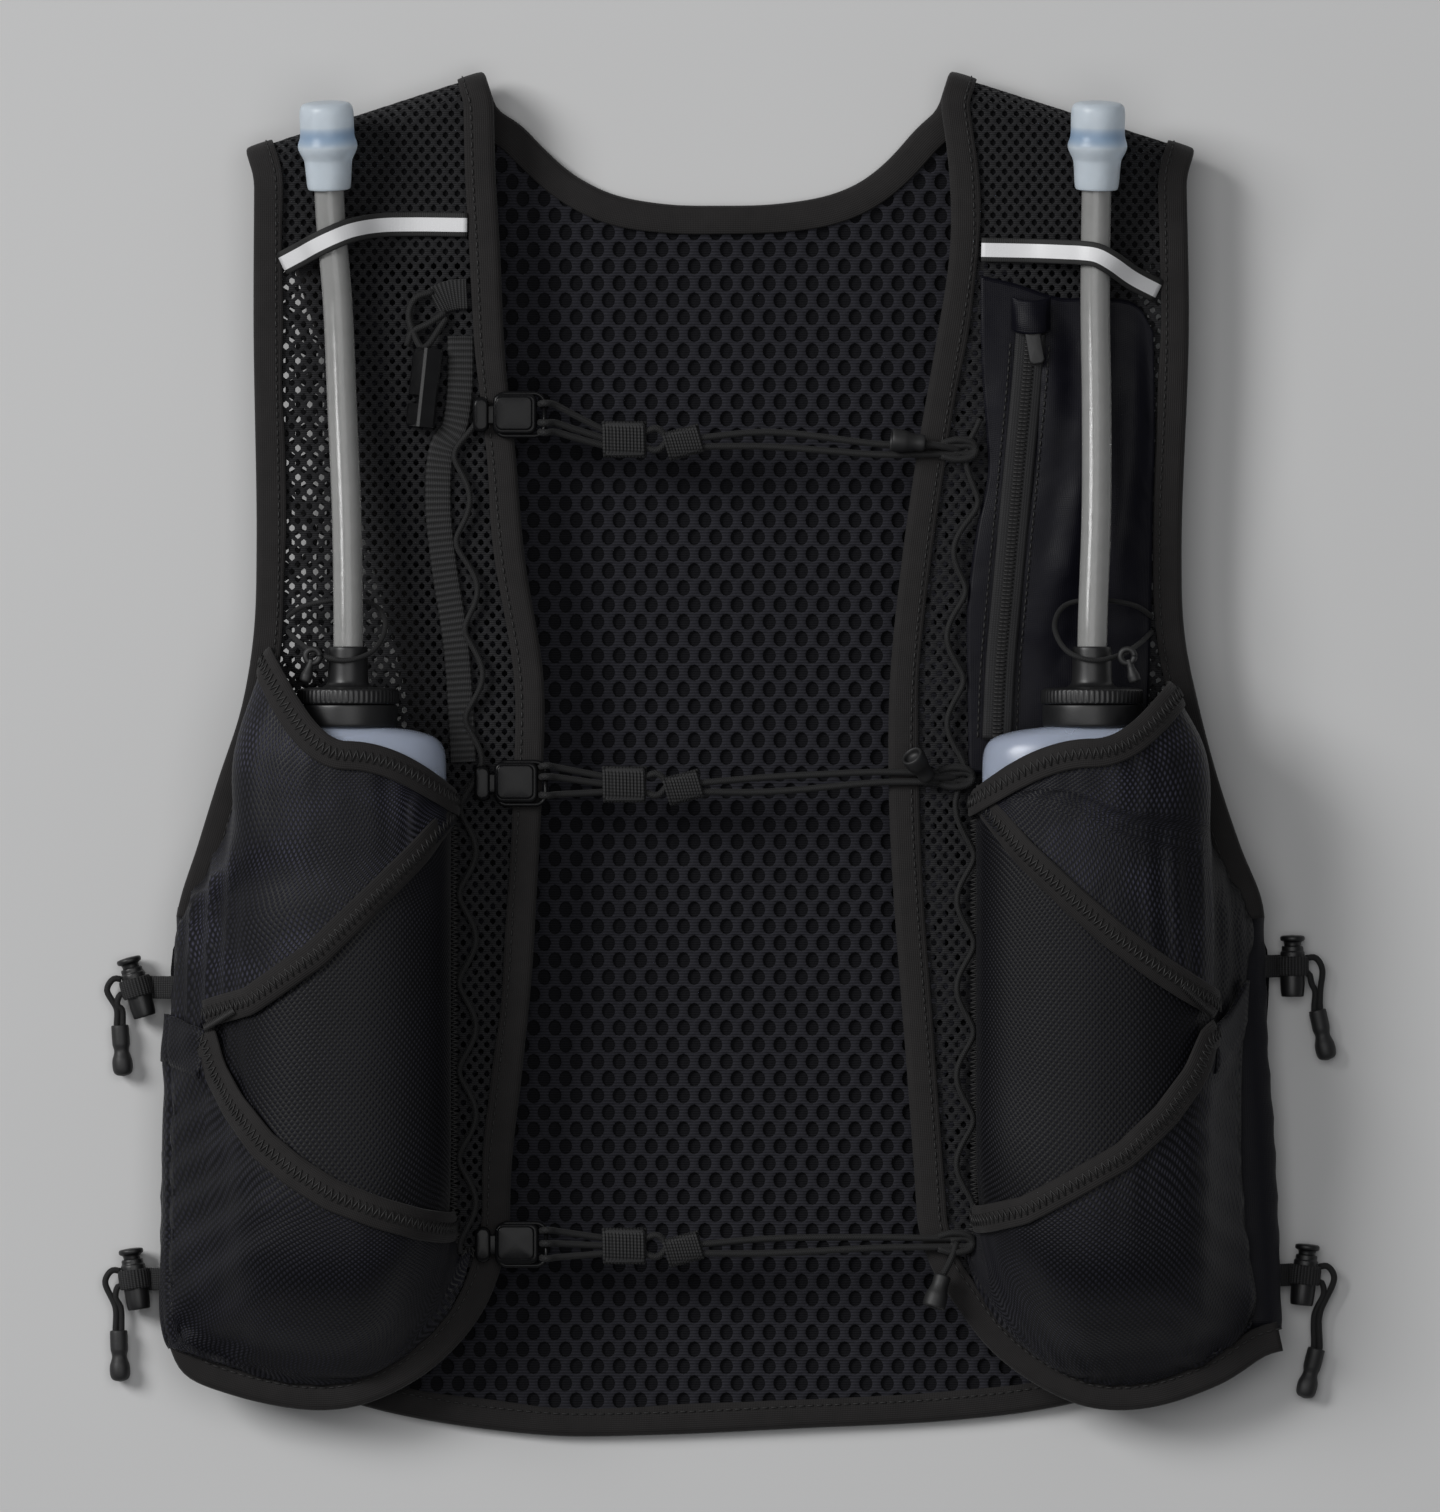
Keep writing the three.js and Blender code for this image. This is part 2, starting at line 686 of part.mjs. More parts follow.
function armEdge(side) {
  const grid = frontGrids[side];
  const frontColumns = side === 'left' ? [0, 1] : [FRONT.columns, FRONT.columns - 1];
  const backLast = back[0].length - 1;
  const backColumns = side === 'left' ? [0, 1] : [backLast, backLast - 1];
  const front = grid
    .map((row, r) => edgePoint(grid, r, frontColumns[0], r, frontColumns[1]))
    .filter(({ point }) => point.y > ARMHOLE.low);
  const behind = back
    .map((row, r) => edgePoint(back, r, backColumns[0], r, backColumns[1]))
    .filter(({ point }) => point.y > ARMHOLE.low && point.y < ARMHOLE.backTop)
    .map((spot) => ({ ...spot, normal: spot.normal.negate() }))
    .reverse();
  return [...front.slice(0, -2).map(drawnIn), ...front.slice(-2), ...behind];
}

SIDES.forEach((side) => {
  add(`arm_binding_${side}`, band(edgePath(armEdge(side)), foldedSection(BACK_WALL)), 'binding');
});

const backHemEdge = back[0].map((_, c) => edgePoint(back, 0, c, 1, c));
add('hem_binding', band(edgePath(backHemEdge), foldedSection(BACK_WALL)), 'binding');

// Side gussets between the fronts and the back

SIDES.forEach((side) => {
  const s = sign(side);
  const edge = frontEdge(OUTER_EDGE.slice(0, 6), side).getPoints(120);
  const rows = GUSSET_LINE.map((row) => {
    const front = edge.reduce((near, p) => (Math.abs(p.y - row.y) < Math.abs(near.y - row.y) ? p : near));
    const seams = { front: front.x - s * GUSSET_SEAM.front, back: s * GUSSET_SEAM.back };
    return GUSSET_SECTION.map(({ seam, share, z }) =>
      vec(THREE.MathUtils.lerp(seams[seam], row[side], share), row.y, z));
  });
  add(`side_gusset_${side}`, wall(rows, GUSSET_WALL), 'woven_nylon');
});

// Flasks: a hollow body open at the neck, a cap with the straw's socket, a straw and a bite valve

// A ring of points round a flask's section, a rounded rectangle between an ellipse and a box.
function flaskRing({ y, half_width: a, half_depth: b }, inset, centre) {
  return Array.from({ length: FLASK.sides }, (_, i) => {
    const angle = (2 * Math.PI * i) / FLASK.sides;
    const power = 2 / FLASK.roundness;
    const round = (value, half) => Math.sign(value) * (half - inset) * Math.abs(value) ** power;
    return vec(centre + round(Math.cos(angle), a), y, FLASK.z + round(Math.sin(angle), b));
  });
}

function flaskBody(side) {
  const centre = sign(side) * FLASK.x;
  const outer = FLASK_SECTIONS.map((row) => flaskRing(row, 0, centre));
  const inner = FLASK_SECTIONS.filter(({ inside }) => inside)
    .map((row) => flaskRing(row, FLASK.wall, centre))
    .reverse();
  const floor = FLASK_SECTIONS[0].y;
  inner[inner.length - 1].forEach((p) => p.setY(floor + FLASK.wall));
  const rings = [...outer, ...inner];
  const poles = [vec(centre, floor - 1, FLASK.z), vec(centre, floor - 1 + FLASK.wall, FLASK.z)];
  const n = FLASK.sides;
  const index = [];
  rings.slice(1).forEach((_, r) => {
    for (let k = 0; k < n; k += 1) {
      const [a, b] = [r * n + k, r * n + ((k + 1) % n)];
      index.push(a, b, b + n, a, b + n, a + n);
    }
  });
  const last = (rings.length - 1) * n;
  const pole = rings.length * n;
  for (let k = 0; k < n; k += 1) {
    index.push(pole, (k + 1) % n, k, pole + 1, last + k, last + ((k + 1) % n));
  }
  return outward(meshFrom([...rings.flat(), ...poles], index));
}

// Radius and y of the cap, from the roof of its threaded cavity round to the floor of the straw's socket.
const CAP_PROFILE = [
  [0, 16.4], [14, 16.4], [14, 9.4], [16, 9.4], [16.4, 16.6], [17, 17.4], [17, 21.6], [15.6, 22.4],
  [6.6, 22.8], [6.4, 36], [5.5, 36], [5.5, 28], [0, 28],
];
// Radius and distance along a valve, from the end of the straw's seat round to its crown.
const VALVE_PROFILE = [
  [0, STRAW_SEATED + GAP], [5.3, STRAW_SEATED + GAP], [5.3, 0], [7.1, 0], [7.4, 2], [8.2, 10], [9.9, 14.2],
  [9, 17.6], [8.8, 26.6], [7.6, 29], [0, 29.3],
];

SIDES.forEach((side) => {
  const centre = sign(side) * FLASK.x;
  add(`flask_body_${side}`, flaskBody(side), 'flask_film');
  add(`flask_cap_${side}`, outward(lathe(CAP_PROFILE, 12).translate(centre, 0, FLASK.z)), 'black_plastic');

  const route = STRAW_ROUTE.map((row) => vec(row[side], row.y, row.z));
  const straw = tube(route, STRAW.radius, { steps: 7, sides: 8, bore: STRAW.bore });
  add(`straw_${side}`, outward(straw), 'straw');

  const tip = route[route.length - 1];
  const run = tip.clone().sub(route[route.length - 2]).normalize();
  const valve = add(`bite_valve_${side}`, outward(lathe(VALVE_PROFILE, 10)), 'silicone');
  valve.quaternion.setFromUnitVectors(vec(0, 1, 0), run);
  valve.position.copy(tip).addScaledVector(run, -STRAW_SEATED);
});

// Pockets: stretch cloth pulled tight from its seams over the flask

// The upper outline of a form and two feet below it, as a taut cloth takes it: the left foot, the tangent
// on to the form, the form and the tangent down to the right foot.
function tautOver(form, leftFoot, rightFoot) {
  const turn = (a, b, c) => (b.x - a.x) * (c.y - a.y) - (b.y - a.y) * (c.x - a.x);
  const chain = [];
  [leftFoot, ...form, rightFoot].forEach((p) => {
    while (chain.length > 1 && turn(chain[chain.length - 2], chain[chain.length - 1], p) >= 0) chain.pop();
    chain.push(p);
  });
  return chain;
}

// A polyline's points at even steps of its length and of its bends, so that tight bends get more points.
const BEND_LENGTH = 22; // a turn of one radian counts as this much length
function evenly(points, count) {
  const lengths = [0];
  points.slice(1).forEach((p, i) => {
    const step = p.clone().sub(points[i]);
    const before = points[Math.max(i - 1, 0)];
    const bend = i ? Math.abs(step.angleTo(points[i].clone().sub(before))) : 0;
    lengths.push(lengths[i] + step.length() + BEND_LENGTH * bend);
  });
  const total = lengths[lengths.length - 1];
  return Array.from({ length: count + 1 }, (_, k) => {
    const along = (total * k) / count;
    const i = Math.max(1, lengths.findIndex((l) => l >= along - 1e-9));
    const share = (along - lengths[i - 1]) / (lengths[i] - lengths[i - 1]);
    return points[i - 1].clone().lerp(points[i], share);
  });
}

// One section of a pocket from its left foot to its right one, with its y easing from foot to crown to foot.
function pocketSection(row, side) {
  const s = sign(side);
  const feet = { in: vec(s * row.in_x, row.in_y, 0), out: vec(s * row[`out_${side}`], row.out_y, 0) };
  const lift = GAP + POCKET_WALL / 2 + 0.2;
  const foot = ({ x, y }) => new THREE.Vector2(x, onFront(side, x, y, lift).z);
  const floor = foot({ x: s * FLASK.x, y: Math.max(row.crown_y, row.in_y) }).y;
  const middle = Math.min(FLASK.z, floor + row.half_depth);
  const form = Array.from({ length: 41 }, (_, i) => {
    const angle = Math.PI * (1.25 - (1.5 * i) / 40);
    const half = s * Math.cos(angle) > 0 ? row.half_out : row.half_in;
    return new THREE.Vector2(s * FLASK.x + half * Math.cos(angle), middle + row.half_depth * Math.sin(angle));
  });
  const [left, right] = side === 'left' ? [feet.out, feet.in] : [feet.in, feet.out];
  const arch = evenly(tautOver(form, foot(left), foot(right)), POCKET_COLUMNS);
  return arch.map((p) => {
    const towardLeft = p.x < s * FLASK.x;
    const end = towardLeft ? left : right;
    const share = THREE.MathUtils.clamp((p.x - s * FLASK.x) / (end.x - s * FLASK.x), 0, 1);
    const bend = share * share;
    return vec(p.x, THREE.MathUtils.lerp(row.crown_y, end.y, bend), p.y);
  });
}

const pocketGrids = Object.fromEntries(
  SIDES.map((side) => [side, POCKET_SECTIONS.map((row) => pocketSection(row, side))]),
);

// A point of a grid between its columns, at a share of the way up between its rows.
function upColumn(grid, c, v) {
  const spot = v * (grid.length - 1);
  const r = Math.min(Math.floor(spot), grid.length - 2);
  const left = Math.min(Math.floor(c), grid[0].length - 2);
  const across = (row) => mix(row[left], row[left + 1], c - left);
  return mix(across(grid[r]), across(grid[r + 1]), spot - r);
}

// How far up a column meets a line across the vest.
function meets(grid, c, line) {
  const lineY = (x) => {
    const i = Math.max(1, line.findIndex((p) => p.x >= Math.abs(x)));
    const share = (Math.abs(x) - line[i - 1].x) / (line[i].x - line[i - 1].x);
    return THREE.MathUtils.lerp(line[i - 1].y, line[i].y, share);
  };
  let [low, high] = [0, 1];
  for (let step = 0; step < 40; step += 1) {
    const v = (low + high) / 2;
    const p = upColumn(grid, c, v);
    if (p.y < lineY(p.x)) low = v;
    else high = v;
  }
  return low;
}

// Even steps between two lists of heights, one height for each column.
const between = (from, to, steps) =>
  Array.from({ length: steps + 1 }, (_, r) => from.map((v, i) => THREE.MathUtils.lerp(v, to[i], r / steps)));

const LAYER_LIFT = POCKET_WALL + 1.2; // a layer's middle over the middle of the cloth below it
const SIDE_SLACK = 1.8; // a layer stands off further beside its gathered outer seam
const SLACK_COLUMNS = 3;
const TAPE_OVERHANG = 2.2; // a tape's fold stands proud of the edge that it binds
const TAPE_LIFT = LAYER_LIFT + POCKET_WALL / 2 + 0.9 + TAPE_WALL / 2;

// A pocket's grid, lifted off it with slack towards the outer seam.
const loosened = (grid, side, lift) =>
  grid.map((row, r) =>
    row.map((p, c) => {
      const fromSeam = side === 'left' ? c : POCKET_COLUMNS - c;
      const slack = SIDE_SLACK * Math.max(0, 1 - fromSeam / SLACK_COLUMNS);
      return p.clone().addScaledVector(normalAt(grid, r, c), lift + slack);
    }),
  );

// A tape on top of a pocket's layers, along one edge of a layer, with its width to one side of that edge.
function edgeTape(grid, lifted, columns, edge, inward) {
  const points = edge.map((v, i) => upColumn(lifted, columns[i], v));
  const path = points.map((point, i) => {
    const run = runAt(points, i);
    const up = normalAt(grid, Math.round(edge[i] * (grid.length - 1)), Math.round(columns[i]));
    const out = up.clone().cross(run).normalize().multiplyScalar(inward);
    const middle = point.clone().addScaledVector(out, BINDING_WIDTH / 2 - TAPE_OVERHANG);
    return { point: middle, out, up: run.cross(out).normalize() };
  });
  return band(path, flatSection(BINDING_WIDTH, TAPE_WALL));
}

SIDES.forEach((side) => {
  const grid = pocketGrids[side];
  const columns = grid[0].map((_, c) => c);
  if (side === 'left') columns[0] = POCKET_FOOT;
  else columns[POCKET_COLUMNS] -= POCKET_FOOT;
  const row = (r) => columns.map(() => r / (grid.length - 1));
  const mouth = row(grid.length - 1);
  const upperEdge = columns.map((c) => meets(grid, c, UPPER_LAYER_EDGE));
  const lowerEdge = columns.map((c) => meets(grid, c, LOWER_LAYER_EDGE));
  const layerGrid = loosened(grid, side, LAYER_LIFT);
  const layer = (heights) =>
    wall(heights.map((height) => height.map((v, i) => upColumn(layerGrid, columns[i], v))), POCKET_WALL);
  const upper = layer([...between(upperEdge, row(grid.length - 2), 4), mouth]);
  const lower = layer([row(0), row(1), ...between(row(2), lowerEdge, 7)]);
  const tapeGrid = loosened(grid, side, TAPE_LIFT);
  const tape = (edge, inward) => edgeTape(grid, tapeGrid, columns, edge, inward);
  add(`flask_pocket_${side}`, wall(grid, POCKET_WALL), 'stretch_knit');
  add(`upper_pocket_${side}`, upper, 'stretch_knit');
  add(`lower_pocket_${side}`, lower, 'stretch_knit');
  add(`mouth_tape_${side}`, tape(mouth, -1), 'binding');
  add(`cross_tape_${side}`, fuse([tape(upperEdge, 1), tape(lowerEdge, -1)]), 'binding');
});

// Chest pocket: a flat pouch on the right front, with a zip and its puller

const CHEST_POCKET = {
  left: [[83.5, -5], [84.5, 30], [88.5, 58], [87.5, 84], [81.5, 116], [86.5, 152]],
  right: [[140, -5], [141, 40], [142, 70], [143, 110], [142.5, 143]],
  columns: 5,
  rows: 7,
  puff: 3, // how far the cloth stands off in the middle
  flat: [0.2, 0.45], // it lies flat under the cap, up to these shares of its height
};

function chestPocketGrid() {
  const { left, right, columns, rows, puff, flat } = CHEST_POCKET;
  const edge = (points) => spline(points.map(([x, y]) => vec(x, y, 0)));
  const [leftEdge, rightEdge] = [edge(left), edge(right)];
  return Array.from({ length: rows + 1 }, (_, r) =>
    Array.from({ length: columns + 1 }, (_, c) => {
      const [u, v] = [c / columns, r / rows];
      const { x, y } = mix(leftEdge.getPoint(v), rightEdge.getPoint(v), u);
      const top = Math.min(1, 4 * (1 - v));
      const stand = puff * Math.sin(Math.PI * u) * top * THREE.MathUtils.smoothstep(v, ...flat);
      return onFront('right', x, y, GAP + 0.4 + POCKET_WALL / 2 + stand);
    }),
  );
}

const chestPocket = chestPocketGrid();
const onChestPocket = (x, y, rise) => vec(x, y, heightOver(chestPocket, POCKET_WALL, x, y) + rise);
add('chest_pocket', wall(chestPocket, POCKET_WALL), 'woven_nylon');

const ZIP_ROUTE = table(['x', 'y'], [
  [104.0, 142],
  [103.4, 124],
  [101.6, 101],
  [99.6, 76],
  [97.6, 52],
  [96.2, 30],
  [95.6, 12],
]);
const ZIP = { width: 10, wall: 1.4 };
const PULLER = { x: 104.6, y: 143, width: 4.2, length: 12, thickness: 1.8, bridge: 3.2 };
const zipLine = spline(ZIP_ROUTE.map(({ x, y }) => vec(x, y, 0))).getPoints(10);
const zipRun = zipLine.map(({ x, y }) => onChestPocket(x, y, GAP + 0.4 + ZIP.wall / 2));
add('chest_zip', levelTape(zipRun, ZIP.width, ZIP.wall), 'woven_nylon');

// The puller hangs from a small bridge over the zip's upper end.
function zipPuller() {
  const { x, y, width, length, thickness, bridge } = PULLER;
  const under = zipRun.filter((p) => p.y > y - 2 * length);
  const low = Math.max(...under.map(({ z }) => z)) + ZIP.wall / 2 + GAP;
  return fuse([
    plate(roundRectangle(x, y - length / 2, width, length, 1.6), low, low + thickness),
    plate(roundRectangle(x, y - 2.6, 3.2, 5.2, 1), low, low + bridge),
  ]);
}

add('zip_puller', zipPuller(), 'rubber');

// Straw keepers and daisy webbing

const TAPE_SEAT = GAP + TAPE_WALL / 2 + 0.1; // the middle of a tape over the cloth that it is sewn to

SIDES.forEach((side) => {
  const route = KEEPER_ROUTES[side].map(({ x, y, rise }) => onFront(side, x, y, TAPE_SEAT + rise));
  add(`straw_keeper_${side}`, levelTape(route, KEEPER_WIDTH, TAPE_WALL), 'reflective');
});

const daisy = DAISY_ROUTE.map(({ x, y }) => onFront('left', x, y, TAPE_SEAT));
add('daisy_webbing', levelTape(daisy, DAISY_WIDTH, TAPE_WALL), 'webbing');

// Chest straps

// A moulded buckle in its own plane: a nub that catches the edge cord, a neck, a face and the strap's bar.
const BUCKLE = { width: 17.6, height: 15.4, thickness: 3.2, nub: 12.4, low: 25.4 };

function buckle() {
  const { width, height, thickness, nub } = BUCKLE;
  const frame = roundRectangle(0, 0, width, height, 3.4);
  frame.holes.push(roundRectangle(width / 2 - 4.6, 0, 4.2, height - 5, 1, THREE.Path));
  return fuse([
    plate(frame, 0, thickness),
    plate(roundRectangle(-2.4, 0, 10.4, 11, 2.4), 0, thickness + 1.4),
    new THREE.BoxGeometry(6, 6.4, thickness - 1).translate(3 - nub, 0, (thickness - 1) / 2),
    plate(roundRectangle(-nub, 0, 5, 11.6, 2.2), 0, thickness - 0.4),
  ]);
}

// A sleeve on the end of a cord, along +Y, with a waist and a round end.
const SLEEVE_PROFILE = [
  [0, 0], [2.9, 0], [2.9, 6.4], [2.4, 8.4], [TIP.radius, 11.6], [TIP.radius, 14.6], [0, TIP.length],
];
const sleeve = (turn, x, y, z) =>
  lathe(SLEEVE_PROFILE, 6).rotateZ(THREE.MathUtils.degToRad(turn)).translate(x, y, z);

STRAPS.forEach(({ name, buckle_x, buckle_y, wrap_y, hitch_x, hitch_y, tip_x, tip_y, tip_turn }) => {
  add(`strap_buckle_${name}`, buckle().translate(buckle_x, buckle_y, BUCKLE.low), 'black_plastic');

  const start = buckle_x + BUCKLE.width / 2 + GAP;
  const sag = STRAP_Z - STRAP_SAG;
  const hitch = onFront('right', hitch_x, hitch_y, GAP + 2.9);
  const cords = levelTape([
    vec(start, buckle_y, STRAP_Z),
    vec(start + 6, buckle_y, STRAP_Z - 0.3),
    vec(WRAPS[0].x - WRAPS[0].length / 2, wrap_y, sag),
    vec(WRAPS[1].x + WRAPS[1].length, wrap_y, sag),
    vec(hitch_x - 16, hitch_y, hitch.z + 0.4),
    hitch,
  ], 2 * (STRAND_SPREAD + CORD_RADIUS), 2 * CORD_RADIUS);
  const wraps = WRAPS.map(({ x, length, width, depth }) =>
    new THREE.BoxGeometry(length, width, depth).translate(x, wrap_y, sag));
  const knot = new THREE.SphereGeometry(2.6, 6, 4).translate(hitch.x, hitch.y, hitch.z);
  const tipZ = hitch.z + 1.6;
  const lead = tube([
    hitch.clone().add(vec(-1, 0, 0.4)),
    vec((hitch.x + tip_x) / 2, (hitch.y + tip_y) / 2, tipZ + 1),
    vec(tip_x, tip_y, tipZ + 1.8),
  ], CORD_RADIUS, { steps: 3, sides: 5 });
  const tip = sleeve(tip_turn, tip_x, tip_y, tipZ + 1.8);
  add(`chest_strap_${name}`, fuse([cords, ...wraps, knot, lead, tip]), 'elastic');
});

// Side cord locks: a spring barrel lying on its side, the webbing tab that holds it, and its cord

const LOCK_PROFILE = [
  [0, -LOCK.length / 2], [LOCK.radius, -LOCK.length / 2], [LOCK.radius, 1.4], [LOCK.neck, 2.4],
  [LOCK.neck, 4.6], [LOCK.knob, 5.4], [LOCK.knob, 8.2], [0, LOCK.length / 2],
];

const TAB_WIDTH = 7.5;
const TAB_Z = GUSSET_SECTION[2].z; // a tab leaves the gusset where that stands out most

// How far out a gusset stands at some y.
function gussetFace(side, y) {
  const i = Math.max(1, GUSSET_LINE.findIndex((row) => row.y >= y));
  const [low, high] = [GUSSET_LINE[i - 1], GUSSET_LINE[i]];
  const line = THREE.MathUtils.mapLinear(y, low.y, high.y, low[side], high[side]);
  return line + sign(side) * (GUSSET_WALL / 2);
}

SIDE_LOCKS.forEach(({ name, side, lock_x, lock_y, turn, tip_x, tip_y, tip_turn }) => {
  const s = sign(side);
  const slant = Math.tan(THREE.MathUtils.degToRad(turn));
  const lock = add(`side_lock_${name}`, outward(lathe(LOCK_PROFILE, 8)), 'black_plastic');
  lock.rotation.z = THREE.MathUtils.degToRad(turn);
  lock.position.set(lock_x, lock_y, LOCK_Z);

  const inner = gussetFace(side, lock_y) + s * (GAP + 0.3);
  const outer = lock_x - s * (LOCK.radius + GAP + 0.2 + (TAB_WIDTH / 2) * Math.abs(slant));
  const tab = [
    vec(inner, lock_y, TAB_Z),
    vec((inner + outer) / 2, lock_y, TAB_Z - 4),
    vec(outer, lock_y, LOCK_Z),
  ];
  add(`side_tab_${name}`, levelTape(tab, TAB_WIDTH, TAPE_WALL), 'webbing');

  const tip = sleeve(180 + tip_turn, tip_x, tip_y, TIP.radius + GAP);
  const strand = (along, bulge) => tube([
    vec(lock_x - along * slant + s * (LOCK.radius + GAP + 0.3), lock_y + along, LOCK_Z),
    vec(lock_x + s * (LOCK.radius + bulge), lock_y + along - 1.5, LOCK_Z + 0.4),
    vec(tip_x + s * (bulge - 4) * 0.5, (lock_y + tip_y) / 2, LOCK_Z),
    vec(tip_x, tip_y + 1, TIP.radius + GAP),
    vec(tip_x, tip_y - 2, TIP.radius + GAP),
  ], CORD_RADIUS, { steps: 5, sides: 5 });
  add(`side_cord_${name}`, fuse([strand(2.6, 6), strand(-2.6, 2.6), tip]), 'elastic');
});

// Whistle on its webbing tab

const WHISTLE = { x: -97.6, y: 121.5, length: 26, width: 9.6, thickness: 7, turn: 6 };

function whistle() {
  const { length, width, thickness } = WHISTLE;
  const [w, l] = [width / 2, length / 2];
  const outline = [
    [-w, l - 2], [-w, -3], [2.6 - w, -5], [-w, -8], [1 - w, -l],
    [w - 1, -l], [w, 1 - l], [w, l - 2], [w - 2.4, l], [2.4 - w, l],
  ];
  return fuse([
    plate(new THREE.Shape(outline.map(([x, y]) => new THREE.Vector2(x, y))), 0, thickness - 1.6),
    plate(roundRectangle(0.6, 1, width - 3.6, length - 4, 1.2), 0, thickness),
  ]);
}

const whistleSeat = onFront('left', WHISTLE.x, WHISTLE.y, GAP + 0.4);
const whistleMesh = add('whistle', whistle(), 'black_plastic');
whistleMesh.rotation.z = THREE.MathUtils.degToRad(-WHISTLE.turn);
whistleMesh.position.copy(whistleSeat);

const WHISTLE_TAB = { width: 7, route: [[-85.5, 152], [-89, 150], [-93, 147], [-96, 142.5], [-96.6, 138]] };
const whistleTab = WHISTLE_TAB.route.map(([x, y]) => onFront('left', x, y, TAPE_SEAT));
add('whistle_tab', levelTape(whistleTab, WHISTLE_TAB.width, TAPE_WALL), 'webbing');

// Neck loops: a cord round each flask's stem, from the armhole's binding and back to it, with a pull on it

const LOOP_ROUTE = table(['out', 'y', 'z'], [
  [142.4, 46, 0],
  [138, 49, 6],
  [131, 50.8, 10.6],
  [122.3, 51.4, 10.8],
  [113.6, 49.6, 12],
  [110, 43, 18],
  [114, 34.5, 25.4],
  [122.3, 31.4, 28.2],
  [131, 33, 24.4],
  [138, 37, 12],
  [142.4, 41, 0],
]);
const LOOP_PULL = { length: 9, width: 4.6, thickness: 3.4 };

SIDES.forEach((side) => {
  const s = sign(side);
  const floor = onFront(side, s * 141, 42, GAP + LOOP_CORD_RADIUS + 0.2).z;
  const route = LOOP_ROUTE.map(({ out, y, z }) => vec(s * out, y, floor + z));
  add(`neck_loop_${side}`, outward(tube(route, LOOP_CORD_RADIUS, { steps: 15, sides: 5 })), 'elastic');

  const pull = add(`loop_pull_${side}`, outward(plate(
    roundRectangle(0, 0, LOOP_PULL.width, LOOP_PULL.length, 1.8), 0, LOOP_PULL.thickness)), 'rubber');
  const seat = route[8].clone().lerp(route[9], 0.4);
  pull.rotation.z = s * 0.3;
  pull.position.set(seat.x, seat.y, seat.z + LOOP_CORD_RADIUS + GAP + 4);
});

export default vest;
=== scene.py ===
import json
import math

import bpy
import numpy as np
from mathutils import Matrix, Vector
from mathutils.bvhtree import BVHTree

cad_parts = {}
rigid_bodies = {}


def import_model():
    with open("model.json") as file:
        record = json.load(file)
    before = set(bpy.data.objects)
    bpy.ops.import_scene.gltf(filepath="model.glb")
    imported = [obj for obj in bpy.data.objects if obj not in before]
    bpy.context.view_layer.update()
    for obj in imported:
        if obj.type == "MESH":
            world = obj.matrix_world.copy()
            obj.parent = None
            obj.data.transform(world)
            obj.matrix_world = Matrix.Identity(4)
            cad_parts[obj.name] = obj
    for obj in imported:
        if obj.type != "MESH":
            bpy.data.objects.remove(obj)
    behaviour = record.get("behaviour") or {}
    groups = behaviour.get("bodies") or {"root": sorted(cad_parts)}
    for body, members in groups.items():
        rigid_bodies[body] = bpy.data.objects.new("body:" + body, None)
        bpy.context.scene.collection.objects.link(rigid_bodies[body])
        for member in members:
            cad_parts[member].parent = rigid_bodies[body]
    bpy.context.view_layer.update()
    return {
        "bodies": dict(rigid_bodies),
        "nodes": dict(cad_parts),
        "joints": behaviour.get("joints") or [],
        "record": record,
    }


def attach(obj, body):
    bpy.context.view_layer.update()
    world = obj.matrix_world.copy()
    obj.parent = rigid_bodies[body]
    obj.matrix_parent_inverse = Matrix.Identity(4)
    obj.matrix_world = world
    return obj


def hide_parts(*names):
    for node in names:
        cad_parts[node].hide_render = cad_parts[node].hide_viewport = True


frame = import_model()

# A running vest laid flat on its back, with two soft flasks in its front pockets.
# Lengths are in millimetres until a mesh is made. Sides are those of someone looking down at the front.

MM = 0.001
SIDES = {"left": -1, "right": 1}

# Driving dimensions, as in the part's source

PHOTO = {"height": 1512, "mm_per_pixel": 0.33}
CAMERA = {"distance": 6000, "plane": 20, "sensor": 36}
GAP = 0.3
BACK_WALL = 3.0
FRONT_WALL = 2.0
POCKET_WALL = 1.0
GUSSET_WALL = 1.2
TAPE_WALL = 1.2
BINDING_WALL = 0.7
BINDING_WIDTH = 9.5
FOLD_RADIUS = 9
BACK_EDGE_Z = 2.5
SHOULDER_Z = 20.5
FRONT_TAIL = 3
FLASK = {"x": 122.3, "z": 43, "roundness": 2.3}
CORD_RADIUS = 1.1
LOOP_CORD_RADIUS = 0.95


def table(names, *rows):
    """Columns of numbers by name."""
    return dict(zip(names.split(), np.array(rows, float).T))


